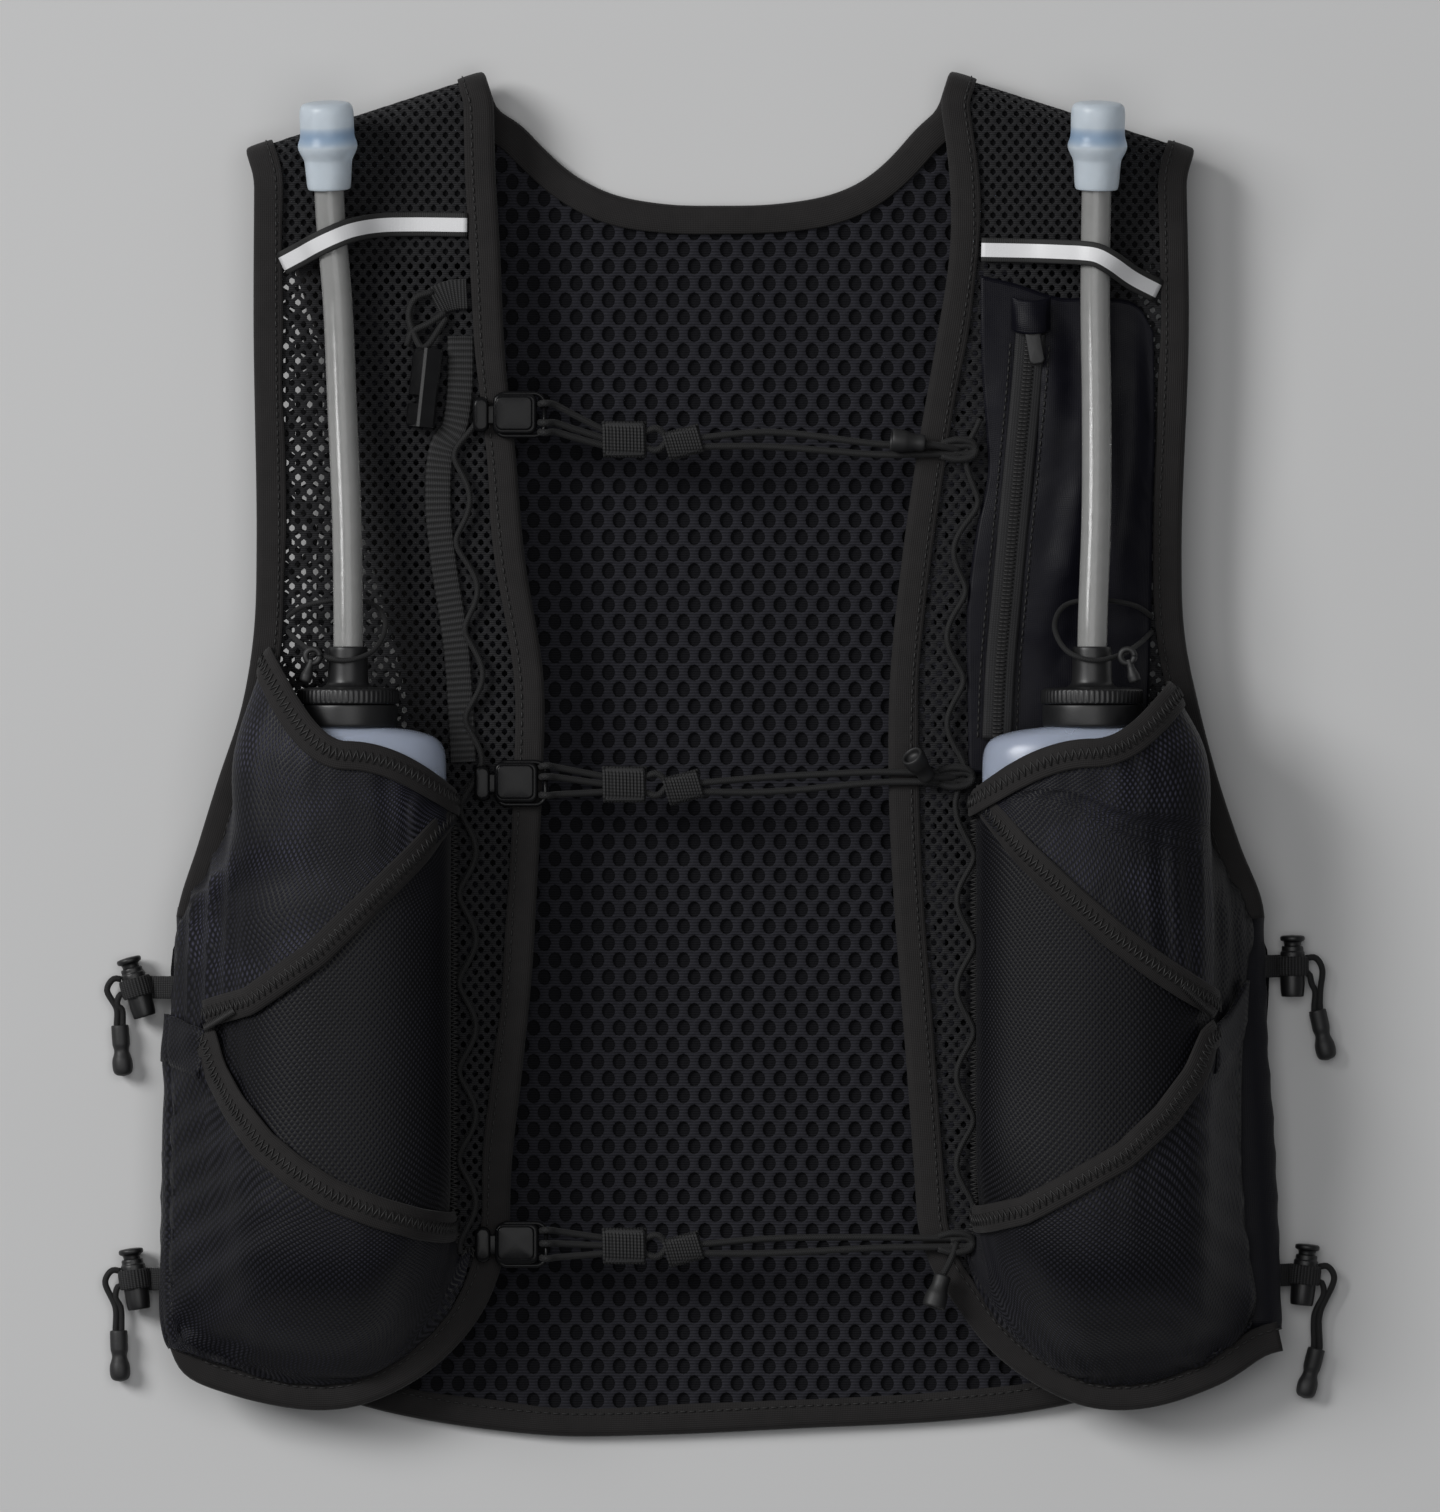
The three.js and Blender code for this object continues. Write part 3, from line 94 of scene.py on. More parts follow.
INNER_EDGE = table(
    "y left right z",
    (-155, -70.5, 66.3, 21.5), (-134, -69.8, 65.0, 22.0), (-104, -66.4, 62.8, 22.5),
    (-72, -63.2, 60.3, 23.0), (-43, -61.5, 58.2, 23.0), (-11, -59.8, 56.8, 23.0),
    (25, -59.3, 57.2, 23.0), (65, -65.5, 61.2, 23.0), (102, -68.8, 66.5, 23.0),
    (131, -72.0, 71.5, 22.5), (167, -73.7, 77.0, 21.8), (192, -75.2, 76.8, 21.0),
    (216, -75.8, 73.8, SHOULDER_Z),
)
OUTER_EDGE = table(
    "y left right z",
    (-192, -181.5, 180.0, 20.5), (-170, -181.5, 177.0, 20.5), (-140, -181.0, 173.5, 21.0),
    (-107, -180.5, 172.0, 21.0), (-75, -178.5, 174.5, 21.0), (-52, -178.0, 178.5, 21.0),
    (-30, -171.3, 170.6, 21.0), (-8, -164.5, 163.3, 20.8), (15, -157.0, 157.2, 20.4),
    (40, -152.8, 152.2, 20.0), (70, -151.8, 151.2, 20.0), (140, -152.8, 153.6, 20.0),
    (191, -152.6, 152.8, SHOULDER_Z),
)
FRONT_HEM = table(
    "y left right z",
    (-192, -181.5, 180.0, 20.5), (-203, -176.5, 170.5, 20.5), (-209.5, -161.7, 157.0, 20.5),
    (-213.7, -144.0, 143.2, 20.5), (-214.8, -130.7, 130.0, 20.5), (-212.8, -117.5, 118.0, 20.7),
    (-204.5, -100.0, 101.5, 20.9), (-193.7, -87.4, 88.5, 21.1), (-181.7, -78.6, 79.5, 21.3),
    (-168.5, -73.3, 70.8, 21.4), (-155, -70.5, 66.3, 21.5),
)
NECK = table(
    "x y",
    (-75.8, 216), (-66.5, 207.9), (-57.8, 199), (-49.5, 191.8), (-36.3, 185), (-18, 181.5), (0, 181),
    (18, 181.5), (36, 184.4), (47, 189), (56, 196), (65, 206), (73.8, 216),
)
BACK_HEM = table(
    "x y",
    (-179, -190), (-150, -203), (-110, -216), (-58, -223.6), (-23, -223.6), (26, -221.4), (76, -218.8),
    (110, -214.5), (150, -204), (180, -191),
)
HEM_ENDS = {"left": (-184.2, -187.6), "right": (185.2, -188.4)}
BACK_SIDE = table(
    "out y",
    (179.5, -190.5), (180.5, -150), (180.5, -100), (179, -59), (160, -52), (138, -46), (117, -33),
    (104, -13), (102, 12), (107, 38), (115, 68), (126, 118), (142, 167), (152.7, 191),
)
GUSSET_LINE = table(
    "y left right",
    (-189, -184.4, 185.4), (-181, -184.6, 184.8), (-150, -184.4, 183.8), (-118, -183.6, 182.6),
    (-90, -182.0, 180.8), (-63, -180.4, 180.2), (-50, -178.9, 179.2),
)
GUSSET_SECTION = table(
    "front share z", (1, 0, 18.4), (1, 0.72, 16.6), (1, 1, 11.6), (0, 0.8, 7.4), (0, 0, 5.4))
GUSSET_SEAM = {"front": 6.5, "back": 172}
POCKET_SECTIONS = table(
    "in_y crown_y out_y in_x left right half_in half_out half_depth",
    (-165, -203, -193, 82.5, 176, 170, 30, 31, 1.5),
    (-160, -196, -187, 84.5, 177.5, 174.5, 33, 34, 5),
    (-152, -186, -180, 86, 179, 176.6, 35.5, 38, 11),
    (-142, -170, -168, 86, 179.3, 175, 37, 37.5, 18),
    (-130, -150, -152, 86, 179.2, 172.8, 37.5, 37.5, 21),
    (-100, -108, -118, 86, 178.6, 170.8, 37.5, 37.5, 21),
    (-66, -64, -74, 86, 177.5, 173, 37.5, 37.5, 21),
    (-53, -48, -56, 86, 176.5, 175.5, 37.5, 37.2, 21),
    (-38, -28, -32, 86, 165, 163.5, 37.5, 36.8, 21),
    (-22, -9, 0, 86, 152.8, 152, 37.5, 34.8, 21),
    (-13, 3, 30, 86, 146, 146.5, 36.5, 24, 21),
)
POCKET_MOUTH = {"left": {"crown_y": 2.8, "out_y": 33}, "right": {"crown_y": 3.6, "out_y": 22}}
POCKET_FIT = {
    "left": dict(shift=3.4, half_in=0.89, flask=0.94),
    "right": dict(shift=0, half_in=1, flask=1.05),
}
POCKET_HEM = {
    "left": table(
        "x y", (82, -163), (84.5, -172), (90, -182.5), (98.5, -191.8), (108.5, -199.6), (119.6, -204.9),
        (130.5, -206.4), (148.3, -204.9), (166.3, -200), (178, -196.5)),
    "right": table(
        "x y", (81, -163), (84, -172), (90.5, -183), (99, -191.8), (109.5, -199.8), (120, -204.9),
        (130, -206.4), (142.5, -205.2), (153.4, -201.6), (163.8, -197), (172.5, -188.5), (176, -184.5)),
}
SIDE_HANG = table(
    "y out", (-196, 182.4), (-190, 184.6), (-182, 185.5), (-151, 184.5), (-105, 184), (-84, 181),
    (-60, 179.8), (-52, 178))
UPPER_LAYER_EDGE = {
    "left": table(
        "x y", (80, -10), (86, -18), (91, -24.5), (99, -34), (110, -46), (130.2, -66.6), (152.4, -82.8),
        (163.5, -86.2), (168, -88), (171, -93), (176, -97), (190, -97)),
    "right": table(
        "x y", (80, -10), (86, -17.5), (91, -24), (99, -33.5), (112.9, -47.6), (126.7, -60.2), (140.6, -70.8),
        (151.7, -78.6), (157, -82), (160, -84.5), (164, -90), (190, -92)),
}
LOWER_LAYER_EDGE = {
    "left": table(
        "x y", (80, -152.5), (88, -151.8), (99.3, -150.2), (111.4, -146.6), (125.7, -141), (137, -133.8),
        (147, -125.3), (155.6, -113.8), (162.1, -102.3), (165, -91), (168.5, -89.2), (172, -88.2), (177, -86),
        (190, -83)),
    "right": table(
        "x y", (80, -150.5), (88, -149), (99.9, -146.4), (113.9, -138.8), (130.8, -128.9), (143.6, -116.2),
        (152.3, -103.1), (156.7, -91), (160.5, -88), (163.5, -85.8), (166.5, -82), (169.5, -77), (172, -73),
        (190, -66)),
}
TAPE_CORNERS = {"left": 169.6, "right": 163.6}
BAR_TACKS = {
    "left": dict(line=((169.4, -89.4), (159.8, -83.6)), rise=0.9),
    "right": dict(line=((161.4, -84.6), (152.2, -76)), rise=0.25),
}
FLASK_SECTIONS = table(
    "y half_width half_depth",
    (-163, 17, 8), (-157, 28, 14), (-145, 33, 17.5), (-128, 34.2, 18.5), (-22, 34.2, 18.5),
    (-6, 34.4, 18.6), (-1, 34.3, 18.5), (3, 33.6, 18.1), (6.2, 31, 17), (8.4, 24, 15), (9.4, 16, 13),
    (9.8, 12.3, 12.3), (16, 12.3, 12.3),
)
STRAW_ROUTE = table(
    "left right y z",
    (-122.3, 122.3, 28.6, 43), (-122.2, 122.5, 43, 42.6), (-122.8, 123.8, 79, 38.6),
    (-124.4, 124.0, 115, 33.6), (-126.0, 123.6, 150, 30.6), (-128.4, 123.9, 179, 31.0),
    (-129.0, 124.2, 196, 33.0),
)
KEEPER_ROUTES = {
    "left": table(
        "x y rise",
        (-144.4, 162.4, 0), (-138.0, 165.6, 5.5), (-133.2, 168.0, 12.8), (-127.6, 170.6, 14.9),
        (-121.6, 173.0, 12.4), (-112.0, 175.0, 3.6), (-102.0, 175.4, 0), (-83.4, 175.2, 0)),
    "right": table(
        "x y rise",
        (86.2, 167.0, 0), (104.0, 166.6, 1.6), (114.0, 166.0, 8.6), (119.0, 165.6, 13.2),
        (124.0, 164.8, 14.9), (129.0, 162.2, 13.4), (136.0, 157.6, 6.0), (144.4, 153.4, 0)),
}
DAISY_ROUTE = table(
    "x y",
    (-85.6, 139), (-85.6, 126), (-86.2, 116), (-87.8, 108), (-91.5, 102), (-93.0, 85), (-91.3, 65),
    (-87.2, 38), (-85.6, 18), (-84.6, -3))
ZIP_ROUTE = table(
    "x y", (102.6, 142), (101.2, 124), (99.0, 101), (96.6, 76), (94.4, 52), (92.4, 30), (91.2, 2))
LACING_BASE = {
    "left": table(
        "y out", (-165, 86.2), (-150, 86.6), (-20, 86.5), (0, 84.4), (38, 84.2), (65, 87), (85, 88.6),
        (102, 88), (116, 84)),
    "right": table(
        "y out", (-152, 84), (-20, 84.3), (-6, 81.2), (24, 80.8), (50, 81), (75, 84), (93, 87.4), (112, 86)),
}
ARM_LACES = table(
    "out y", (145, 148), (138.4, 142), (134.6, 131), (136.6, 119), (142, 110), (144.6, 97), (142.6, 85),
    (136.6, 79.6), (134.4, 71), (138, 63.4), (145, 59))
STRAPS = {
    "top": dict(
        buckle=(-66.0, 112.5), wrap_y=104.4, hitch=(80.0, 101.0), tip=(67.5, 103.0), tip_turn=84,
        tip_rise=0.12),
    "mid": dict(
        buckle=(-65.6, -9.0), wrap_y=-9.4, hitch=(79.0, -7.0), tip=(68.6, -7.0), tip_turn=38, tip_rise=0.7),
    "low": dict(
        buckle=(-65.4, -161.0), wrap_y=-161.6, hitch=(79.0, -160.4), tip=(73.5, -171.0), tip_turn=163,
        tip_rise=0.12),
}
WRAPS = table("x length width depth", (-31.5, 15, 12.2, 5.4), (-12.0, 12.6, 9.8, 5.0))
BUCKLE = {"thickness": 3.2, "nub": 12.4, "low": 25.4}
STRAP_Z = 27.4
STRAP_SAG = 3.2
TIP_RADIUS = 3.4
SIDE_LOCKS = {
    "left_upper": dict(side="left", lock=(-193.0, -76.5), turn=16, tip=(-198.6, -89.0), tip_turn=4),
    "left_lower": dict(side="left", lock=(-193.6, -173.0), turn=8, tip=(-199.0, -190.0), tip_turn=2),
    "right_upper": dict(side="right", lock=(189.4, -69.5), turn=0, tip=(197.6, -84.0), tip_turn=12),
    "right_lower": dict(side="right", lock=(193.4, -171.6), turn=-6, tip=(197.4, -196.0), tip_turn=-14),
}
LOCK_RADIUS = 3.8
LOCK_Z = LOCK_RADIUS + GAP
LOOP_ROUTE = table(
    "out y z",
    (142.4, 46, 0), (138, 49, 6), (131, 50.8, 10.6), (122.3, 51.4, 10.8), (113.6, 49.6, 12), (110, 43, 18),
    (114, 34.5, 25.4), (122.3, 31.4, 28.2), (131, 33, 24.4), (138, 37, 12), (142.4, 41, 0))

# Curves and surfaces


def rows_of(columns, *names):
    return np.stack([np.broadcast_to(columns[n], columns["y"].shape) for n in names], 1)


def spline(points, count):
    """Points at even steps of a centripetal Catmull-Rom curve's own parameter, as in the source."""
    p = np.asarray(points, float)
    p = np.vstack([2 * p[0] - p[1], p, 2 * p[-1] - p[-2]])
    t = np.linspace(0, len(p) - 3, count)
    i = np.minimum(t.astype(int), len(p) - 4)
    w = (t - i)[:, None]
    a, b, c, d = (p[i + k] for k in range(4))
    ab, bc, cd = (np.sqrt(np.linalg.norm(n - m, axis=1))[:, None] for m, n in ((a, b), (b, c), (c, d)))
    start = ((b - a) / ab - (c - a) / (ab + bc) + (c - b) / bc) * bc
    end = ((c - b) / bc - (d - b) / (bc + cd) + (d - c) / cd) * bc
    return b + start * w + (3 * (c - b) - 2 * start - end) * w**2 + (2 * (b - c) + start + end) * w**3


def lengths_along(points):
    return np.concatenate([[0], np.cumsum(np.linalg.norm(np.diff(points, axis=0), axis=1))])


UP, DOWN = (0, 0, 1.0), (0, 0, -1.0)

def everywhere(direction, points):
    """The same direction at every point."""
    return np.broadcast_to(direction, points.shape)

def carried(rows, along, at):
    """Rows of numbers known at some lengths along a line, at other lengths."""
    return np.stack([np.interp(at, along, column) for column in rows.T], 1)

def evenly(points, count, *others):
    """A polyline again with this many points at even steps, and other rows carried along with it."""
    along = lengths_along(points)
    at = np.linspace(0, along[-1], count)
    found = [carried(rows, along, at) for rows in (points, *others)]
    return found if others else found[0]

def spaced(points, step, *others):
    """The same with points about step apart."""
    return evenly(points, max(2, round(lengths_along(points)[-1] / step) + 1), *others)


def unit(v):
    return v / np.maximum(np.linalg.norm(v, axis=-1, keepdims=True), 1e-9)


def ease(x, low, high):
    t = np.clip((x - low) / (high - low), 0, 1)
    return t * t * (3 - 2 * t)


def runs_of(points):
    return unit(np.gradient(np.asarray(points, float), axis=0))


def coons(bottom, top, left, right):
    """A grid of points over four edges that meet at their corners."""
    u = np.linspace(0, 1, len(bottom))[None, :, None]
    v = np.linspace(0, 1, len(left))[:, None, None]
    across = left[:, None] * (1 - u) + right[:, None] * u
    along = bottom[None] * (1 - v) + top[None] * v
    corners = (bottom[0] * (1 - u) + bottom[-1] * u) * (1 - v) + (top[0] * (1 - u) + top[-1] * u) * v
    return across + along - corners


def normals_of(grid):
    """Upwards where rows run up the vest and columns run right."""
    return unit(np.cross(np.gradient(grid, axis=1), np.gradient(grid, axis=0)))


class Cloth:
    """A surface that other pieces are dropped on to from above."""

    def __init__(self, grid):
        rows, columns = grid.shape[:2]
        faces = [
            (r * columns + c, r * columns + c + 1, (r + 1) * columns + c + 1, (r + 1) * columns + c)
            for r in range(rows - 1) for c in range(columns - 1)
        ]
        self.tree = BVHTree.FromPolygons([Vector(p) for p in grid.reshape(-1, 3)], faces)

    def at(self, x, y):
        """The height and normal under a point, or None beside the cloth."""
        place, normal, _, _ = self.tree.ray_cast(Vector((x, y, 300)), Vector((0, 0, -1)))
        return None if place is None else (place.z, normal)

    def seat(self, points, rise):
        """Points on the cloth at each x and y, raised by rise."""
        rise = np.broadcast_to(rise, len(points))
        return np.array([(x, y, self.at(x, y)[0] + r) for (x, y), r in zip(np.asarray(points)[:, :2], rise)])


def noise_along(count, scale, seed):
    """A smooth random line of about -1 to 1, with a bump every scale points."""
    knots = np.random.default_rng(seed).uniform(-1, 1, int(count / scale) + 4)
    at = np.arange(count) / scale
    i = at.astype(int)
    w = at - i
    w = w * w * (3 - 2 * w)
    return knots[i] * (1 - w) + knots[i + 1] * w


# Meshes


def mesh_of(name, points, faces, corner_uvs=None, smooth=True):
    mesh = bpy.data.meshes.new(name)
    mesh.from_pydata((np.asarray(points) * MM).tolist(), [], faces)
    if corner_uvs is not None:
        layer = mesh.uv_layers.new(name="cloth")
        layer.data.foreach_set("uv", (np.asarray(corner_uvs, np.float32) * MM).ravel())
    mesh.polygons.foreach_set("use_smooth", np.full(len(mesh.polygons), smooth))
    mesh.update()
    return mesh


def volume_of(points, faces):
    corners = np.array([(f[0], f[k], f[k + 1]) for f in faces for k in range(1, len(f) - 1)])
    a, b, c = (np.asarray(points)[corners[:, i]] for i in range(3))
    return (a * np.cross(b, c)).sum()


def loft(rings, caps=True):
    """Points, faces and corner UVs of a closed skin over rings of points. U runs along and V runs round."""
    rings = np.asarray(rings, float)
    rows, columns = rings.shape[:2]
    middle = rings.mean(1)
    u = lengths_along(middle)
    round_it = np.concatenate([rings, rings[:, :1]], axis=1)
    v = np.concatenate([[0], np.cumsum(np.linalg.norm(np.diff(round_it, axis=1), axis=2).max(0))])
    faces, uvs = [], []
    for r in range(rows - 1):
        for c in range(columns):
            d = (c + 1) % columns
            faces.append((r * columns + c, r * columns + d, (r + 1) * columns + d, (r + 1) * columns + c))
            uvs += [(u[r], v[c]), (u[r], v[c + 1]), (u[r + 1], v[c + 1]), (u[r + 1], v[c])]
    points = rings.reshape(-1, 3)
    if caps:
        points = np.vstack([points, middle[0], middle[-1]])
        for end, first in ((rows * columns, 0), (rows * columns + 1, (rows - 1) * columns)):
            for c in range(columns):
                side = (first + (c + 1) % columns, first + c)
                faces.append((end, *side) if first == 0 else (end, *side[::-1]))
                uvs += [(u[0 if first == 0 else -1], v[c])] * 3
    if volume_of(points, faces) < 0:
        faces = [f[::-1] for f in faces]
        sizes = np.cumsum([0] + [len(f) for f in faces])
        uvs = [uv for a, b in zip(sizes[:-1], sizes[1:]) for uv in uvs[a:b][::-1]]
    return points, faces, uvs


def shell(grid, thickness):
    """A closed wall on both sides of a grid. U runs across and V runs up."""
    normal = normals_of(grid)
    rows, columns = grid.shape[:2]
    layers = [grid + normal * thickness / 2, grid - normal * thickness / 2]
    points = np.concatenate([layer.reshape(-1, 3) for layer in layers])
    u = np.concatenate([[0], np.cumsum(np.linalg.norm(np.diff(grid, axis=1), axis=2).mean(0))])
    v = np.concatenate([[0], np.cumsum(np.linalg.norm(np.diff(grid, axis=0), axis=2).mean(1))])
    at = lambda layer, r, c: (layer * rows + r) * columns + c
    faces, uvs = [], []

    def quad(*spots):
        faces.append(tuple(at(*s) for s in spots))
        uvs.extend((u[c], v[r]) for _, r, c in spots)

    for r in range(rows - 1):
        for c in range(columns - 1):
            quad((0, r, c), (0, r, c + 1), (0, r + 1, c + 1), (0, r + 1, c))
            quad((1, r, c), (1, r + 1, c), (1, r + 1, c + 1), (1, r, c + 1))
        quad((0, r, 0), (0, r + 1, 0), (1, r + 1, 0), (1, r, 0))
        quad((0, r, columns - 1), (1, r, columns - 1), (1, r + 1, columns - 1), (0, r + 1, columns - 1))
    for c in range(columns - 1):
        quad((0, 0, c), (1, 0, c), (1, 0, c + 1), (0, 0, c + 1))
        quad((0, rows - 1, c), (0, rows - 1, c + 1), (1, rows - 1, c + 1), (1, rows - 1, c))
    return points, faces, uvs


def area_of(grid):
    a, b, c, d = grid[:-1, :-1], grid[:-1, 1:], grid[1:, 1:], grid[1:, :-1]
    return (np.linalg.norm(np.cross(c - a, d - b), axis=2) / 2).sum()


def sweep(path, out, up, profile):
    """A section of (out, up) pairs carried along a path. The profile may change along the path."""
    profile = np.asarray(profile, float)
    if profile.ndim == 2:
        profile = np.broadcast_to(profile, (len(path), *profile.shape))
    rings = path[:, None] + out[:, None] * profile[:, :, :1] + up[:, None] * profile[:, :, 1:]
    return loft(rings)


def soft_round(angle, width, thickness, power):
    """Points at these angles round a flat section with soft edges."""
    soft = lambda value, half: np.sign(value) * half * np.abs(value) ** (2 / power)
    return np.stack([soft(np.cos(angle), width / 2), soft(np.sin(angle), thickness / 2)], 1)

def round_section(width, thickness, power=4, count=16):
    return soft_round(np.linspace(0, 2 * np.pi, count, endpoint=False), width, thickness, power)


def level_frame(path):
    """Sideways and upwards directions of a tape that lies level."""
    run = runs_of(path)
    out = unit(np.cross(np.array([0, 0, 1.0]), run))
    return out, np.cross(run, out)


def carried_frame(path):
    """Two directions square to a path, carried along it without a twist."""
    run = runs_of(path)
    seed = np.array([0, 0, 1.0]) if abs(run[0][2]) < 0.8 else np.array([1.0, 0, 0])
    side = [unit(np.cross(seed, run[0]))]
    for k in range(1, len(path)):
        side.append(unit(side[-1] - run[k] * side[-1].dot(run[k])))
    side = np.array(side)
    return side, np.cross(run, side)


def tube(path, radius, sides=12):
    """A round cord along a path. The radius may change along it."""
    side, up = carried_frame(path)
    angle = np.linspace(0, 2 * np.pi, sides, endpoint=False)
    circle = np.stack([np.cos(angle), np.sin(angle)], 1)
    radius = np.broadcast_to(radius, len(path))
    return sweep(path, side, up, circle[None] * radius[:, None, None])


def turned(profile, origin, axis, sides=32):
    """A turned solid: (radius, distance) pairs from its lower end to its upper one along an axis."""
    axis = unit(np.asarray(axis, float))
    seed = np.array([0, 0, 1.0]) if abs(axis[2]) < 0.8 else np.array([1.0, 0, 0])
    side = unit(np.cross(seed, axis))
    up = np.cross(axis, side)
    angle = np.linspace(0, 2 * np.pi, sides, endpoint=False)
    circle = side * np.cos(angle)[:, None] + up * np.sin(angle)[:, None]
    rings = [np.asarray(origin) + axis * along + circle * max(radius, 1e-3) for radius, along in profile]
    return loft(rings)


def rounded(profile, passes=2):
    """A profile with its corners cut, to soften it."""
    p = np.asarray(profile, float)
    for _ in range(passes):
        cut = [0.75 * p[:-1] + 0.25 * p[1:], 0.25 * p[:-1] + 0.75 * p[1:]]
        p = np.vstack([p[:1], np.stack(cut, 1).reshape(-1, p.shape[1]), p[-1:]])
    return p


def joined(*solids):
    """Several meshes' points, faces and corner UVs as one."""
    points, faces, uvs = [], [], []
    first = 0
    for p, f, uv in solids:
        points.append(np.asarray(p))
        faces += [tuple(i + first for i in face) for face in f]
        uvs += list(uv)
        first += len(p)
    return np.vstack(points), faces, uvs


def soft_box(outline, low, high, edge):
    """A plate of an outline in the XY plane with rounded upper and lower edges."""
    outline = np.asarray(outline, float)
    middle = outline.mean(0)
    inward = unit(middle - outline)
    rings = []
    for turn in np.linspace(-90, 90, 7):
        rise = np.sin(np.radians(turn))
        inset = edge * (1 - np.cos(np.radians(turn)))
        z = (low + edge) + edge * rise if rise < 0 else (high - edge) + edge * rise
        ring = outline + inward * inset
        rings.append(np.column_stack([ring, np.full(len(ring), z)]))
        if turn == 0:
            rings.insert(-1, np.column_stack([outline, np.full(len(outline), low + edge)]))
    return loft(rings)


def spin(turn):
    """A turn about Z in degrees, for rows of points."""
    c, s = math.cos(math.radians(turn)), math.sin(math.radians(turn))
    return np.array([[c, s, 0], [-s, c, 0], [0, 0, 1]])

def direction(turn):
    """The direction up the vest, turned about Z in degrees."""
    return np.array([0, 1.0, 0]) @ spin(turn)

def round_outline(x, y, width, height, radius, turn=0, corner=6):
    """A rectangle with round corners, turned about its middle."""
    w, h = width / 2 - radius, height / 2 - radius
    points = []
    for cx, cy, start in ((w, h, 0), (-w, h, 90), (-w, -h, 180), (w, -h, 270)):
        angle = np.radians(start + np.linspace(0, 90, corner))
        points.append(np.stack([cx + radius * np.cos(angle), cy + radius * np.sin(angle)], 1))
    return np.vstack(points) @ spin(turn)[:2, :2] + (x, y)


def dressed(name, mesh, nodes):
    """A new object of the vest and the solids that it stands for."""
    obj = bpy.data.objects.new(name, mesh)
    bpy.context.collection.objects.link(obj)
    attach(obj, "root")
    if nodes:
        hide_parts(*nodes)
    return obj

def piece(name, solid, finish, nodes=(), smooth=True):
    """An object of one mesh and one finish."""
    mesh = mesh_of(name, *solid, smooth=smooth)
    mesh.materials.append(finish)
    return dressed(name, mesh, nodes)

# Repeats: one small shape on every point, by geometry nodes


def repeat_tree():
    """Sets a unit on each point of a mesh, turned by the points' own directions, and joins them."""
    tree = bpy.data.node_groups.new("unit_on_each_point", "GeometryNodeTree")
    sockets = {"Unit": "Object", "Weld distance": "Float", "Finish": "Material"}
    tree.interface.new_socket("Points", in_out="INPUT", socket_type="NodeSocketGeometry")
    for name, kind in sockets.items():
        tree.interface.new_socket(name, in_out="INPUT", socket_type=f"NodeSocket{kind}")
    tree.interface.new_socket("Pieces", in_out="OUTPUT", socket_type="NodeSocketGeometry")
    nodes, link = tree.nodes, tree.links.new
    given, result = nodes.new("NodeGroupInput"), nodes.new("NodeGroupOutput")

    def attribute(name):
        read = nodes.new("GeometryNodeInputNamedAttribute")
        read.data_type = "FLOAT_VECTOR"
        read.inputs["Name"].default_value = name
        return read.outputs[0]

    def aligned(axis, pivot, vector, before=None):
        turn = nodes.new("FunctionNodeAlignRotationToVector")
        turn.axis, turn.pivot_axis = axis, pivot
        link(vector, turn.inputs["Vector"])
        if before is not None:
            link(before, turn.inputs["Rotation"])
        return turn.outputs[0]

    source = nodes.new("GeometryNodeObjectInfo")
    link(given.outputs["Unit"], source.inputs["Object"])
    instances = nodes.new("GeometryNodeInstanceOnPoints")
    link(given.outputs["Points"], instances.inputs["Points"])
    link(source.outputs["Geometry"], instances.inputs["Instance"])
    link(aligned("Z", "X", attribute("facing"), aligned("X", "AUTO", attribute("along"))),
         instances.inputs["Rotation"])
    link(attribute("size"), instances.inputs["Scale"])
    real = nodes.new("GeometryNodeRealizeInstances")
    link(instances.outputs[0], real.inputs[0])
    weld = nodes.new("GeometryNodeMergeByDistance")
    link(real.outputs[0], weld.inputs["Geometry"])
    link(given.outputs["Weld distance"], weld.inputs["Distance"])
    paint = nodes.new("GeometryNodeSetMaterial")
    link(weld.outputs[0], paint.inputs["Geometry"])
    link(given.outputs["Finish"], paint.inputs["Material"])
    link(paint.outputs[0], result.inputs["Pieces"])
    return tree


REPEAT = repeat_tree()
REPEAT_INPUTS = {i.name: i.identifier for i in REPEAT.interface.items_tree if i.in_out == "INPUT"}


def repeat(name, spots, along, facing, solid, finish, size=None, weld=1e-6, nodes=()):
    """A unit at each spot, its X along and its Z facing, as one piece."""
    size = np.ones((len(spots), 3)) if size is None else size
    points = mesh_of(f"{name}_points", spots, [])
    for key, rows in {"along": along, "facing": facing, "size": size}.items():
        rows = np.broadcast_to(np.asarray(rows, np.float32), (len(spots), 3))
        points.attributes.new(key, "FLOAT_VECTOR", "POINT").data.foreach_set("vector", rows.ravel())
    base = bpy.data.objects.new(f"{name}_points", points)
    unit_object = bpy.data.objects.new(f"{name}_unit", mesh_of(f"{name}_unit", solid[0], solid[1]))
    for obj in (base, unit_object):
        bpy.context.collection.objects.link(obj)
    modifier = base.modifiers.new("units", "NODES")
    modifier.node_group = REPEAT
    modifier[REPEAT_INPUTS["Unit"]] = unit_object
    modifier[REPEAT_INPUTS["Weld distance"]] = weld * MM
    modifier[REPEAT_INPUTS["Finish"]] = finish
    mesh = bpy.data.meshes.new_from_object(base.evaluated_get(bpy.context.evaluated_depsgraph_get()))
    mesh.name = name
    base.modifiers.remove(modifier)
    for obj in (base, unit_object):
        bpy.data.objects.remove(obj)
    return dressed(name, mesh, nodes)


# Finishes: procedural, on object coordinates or on the cloth's own UV map


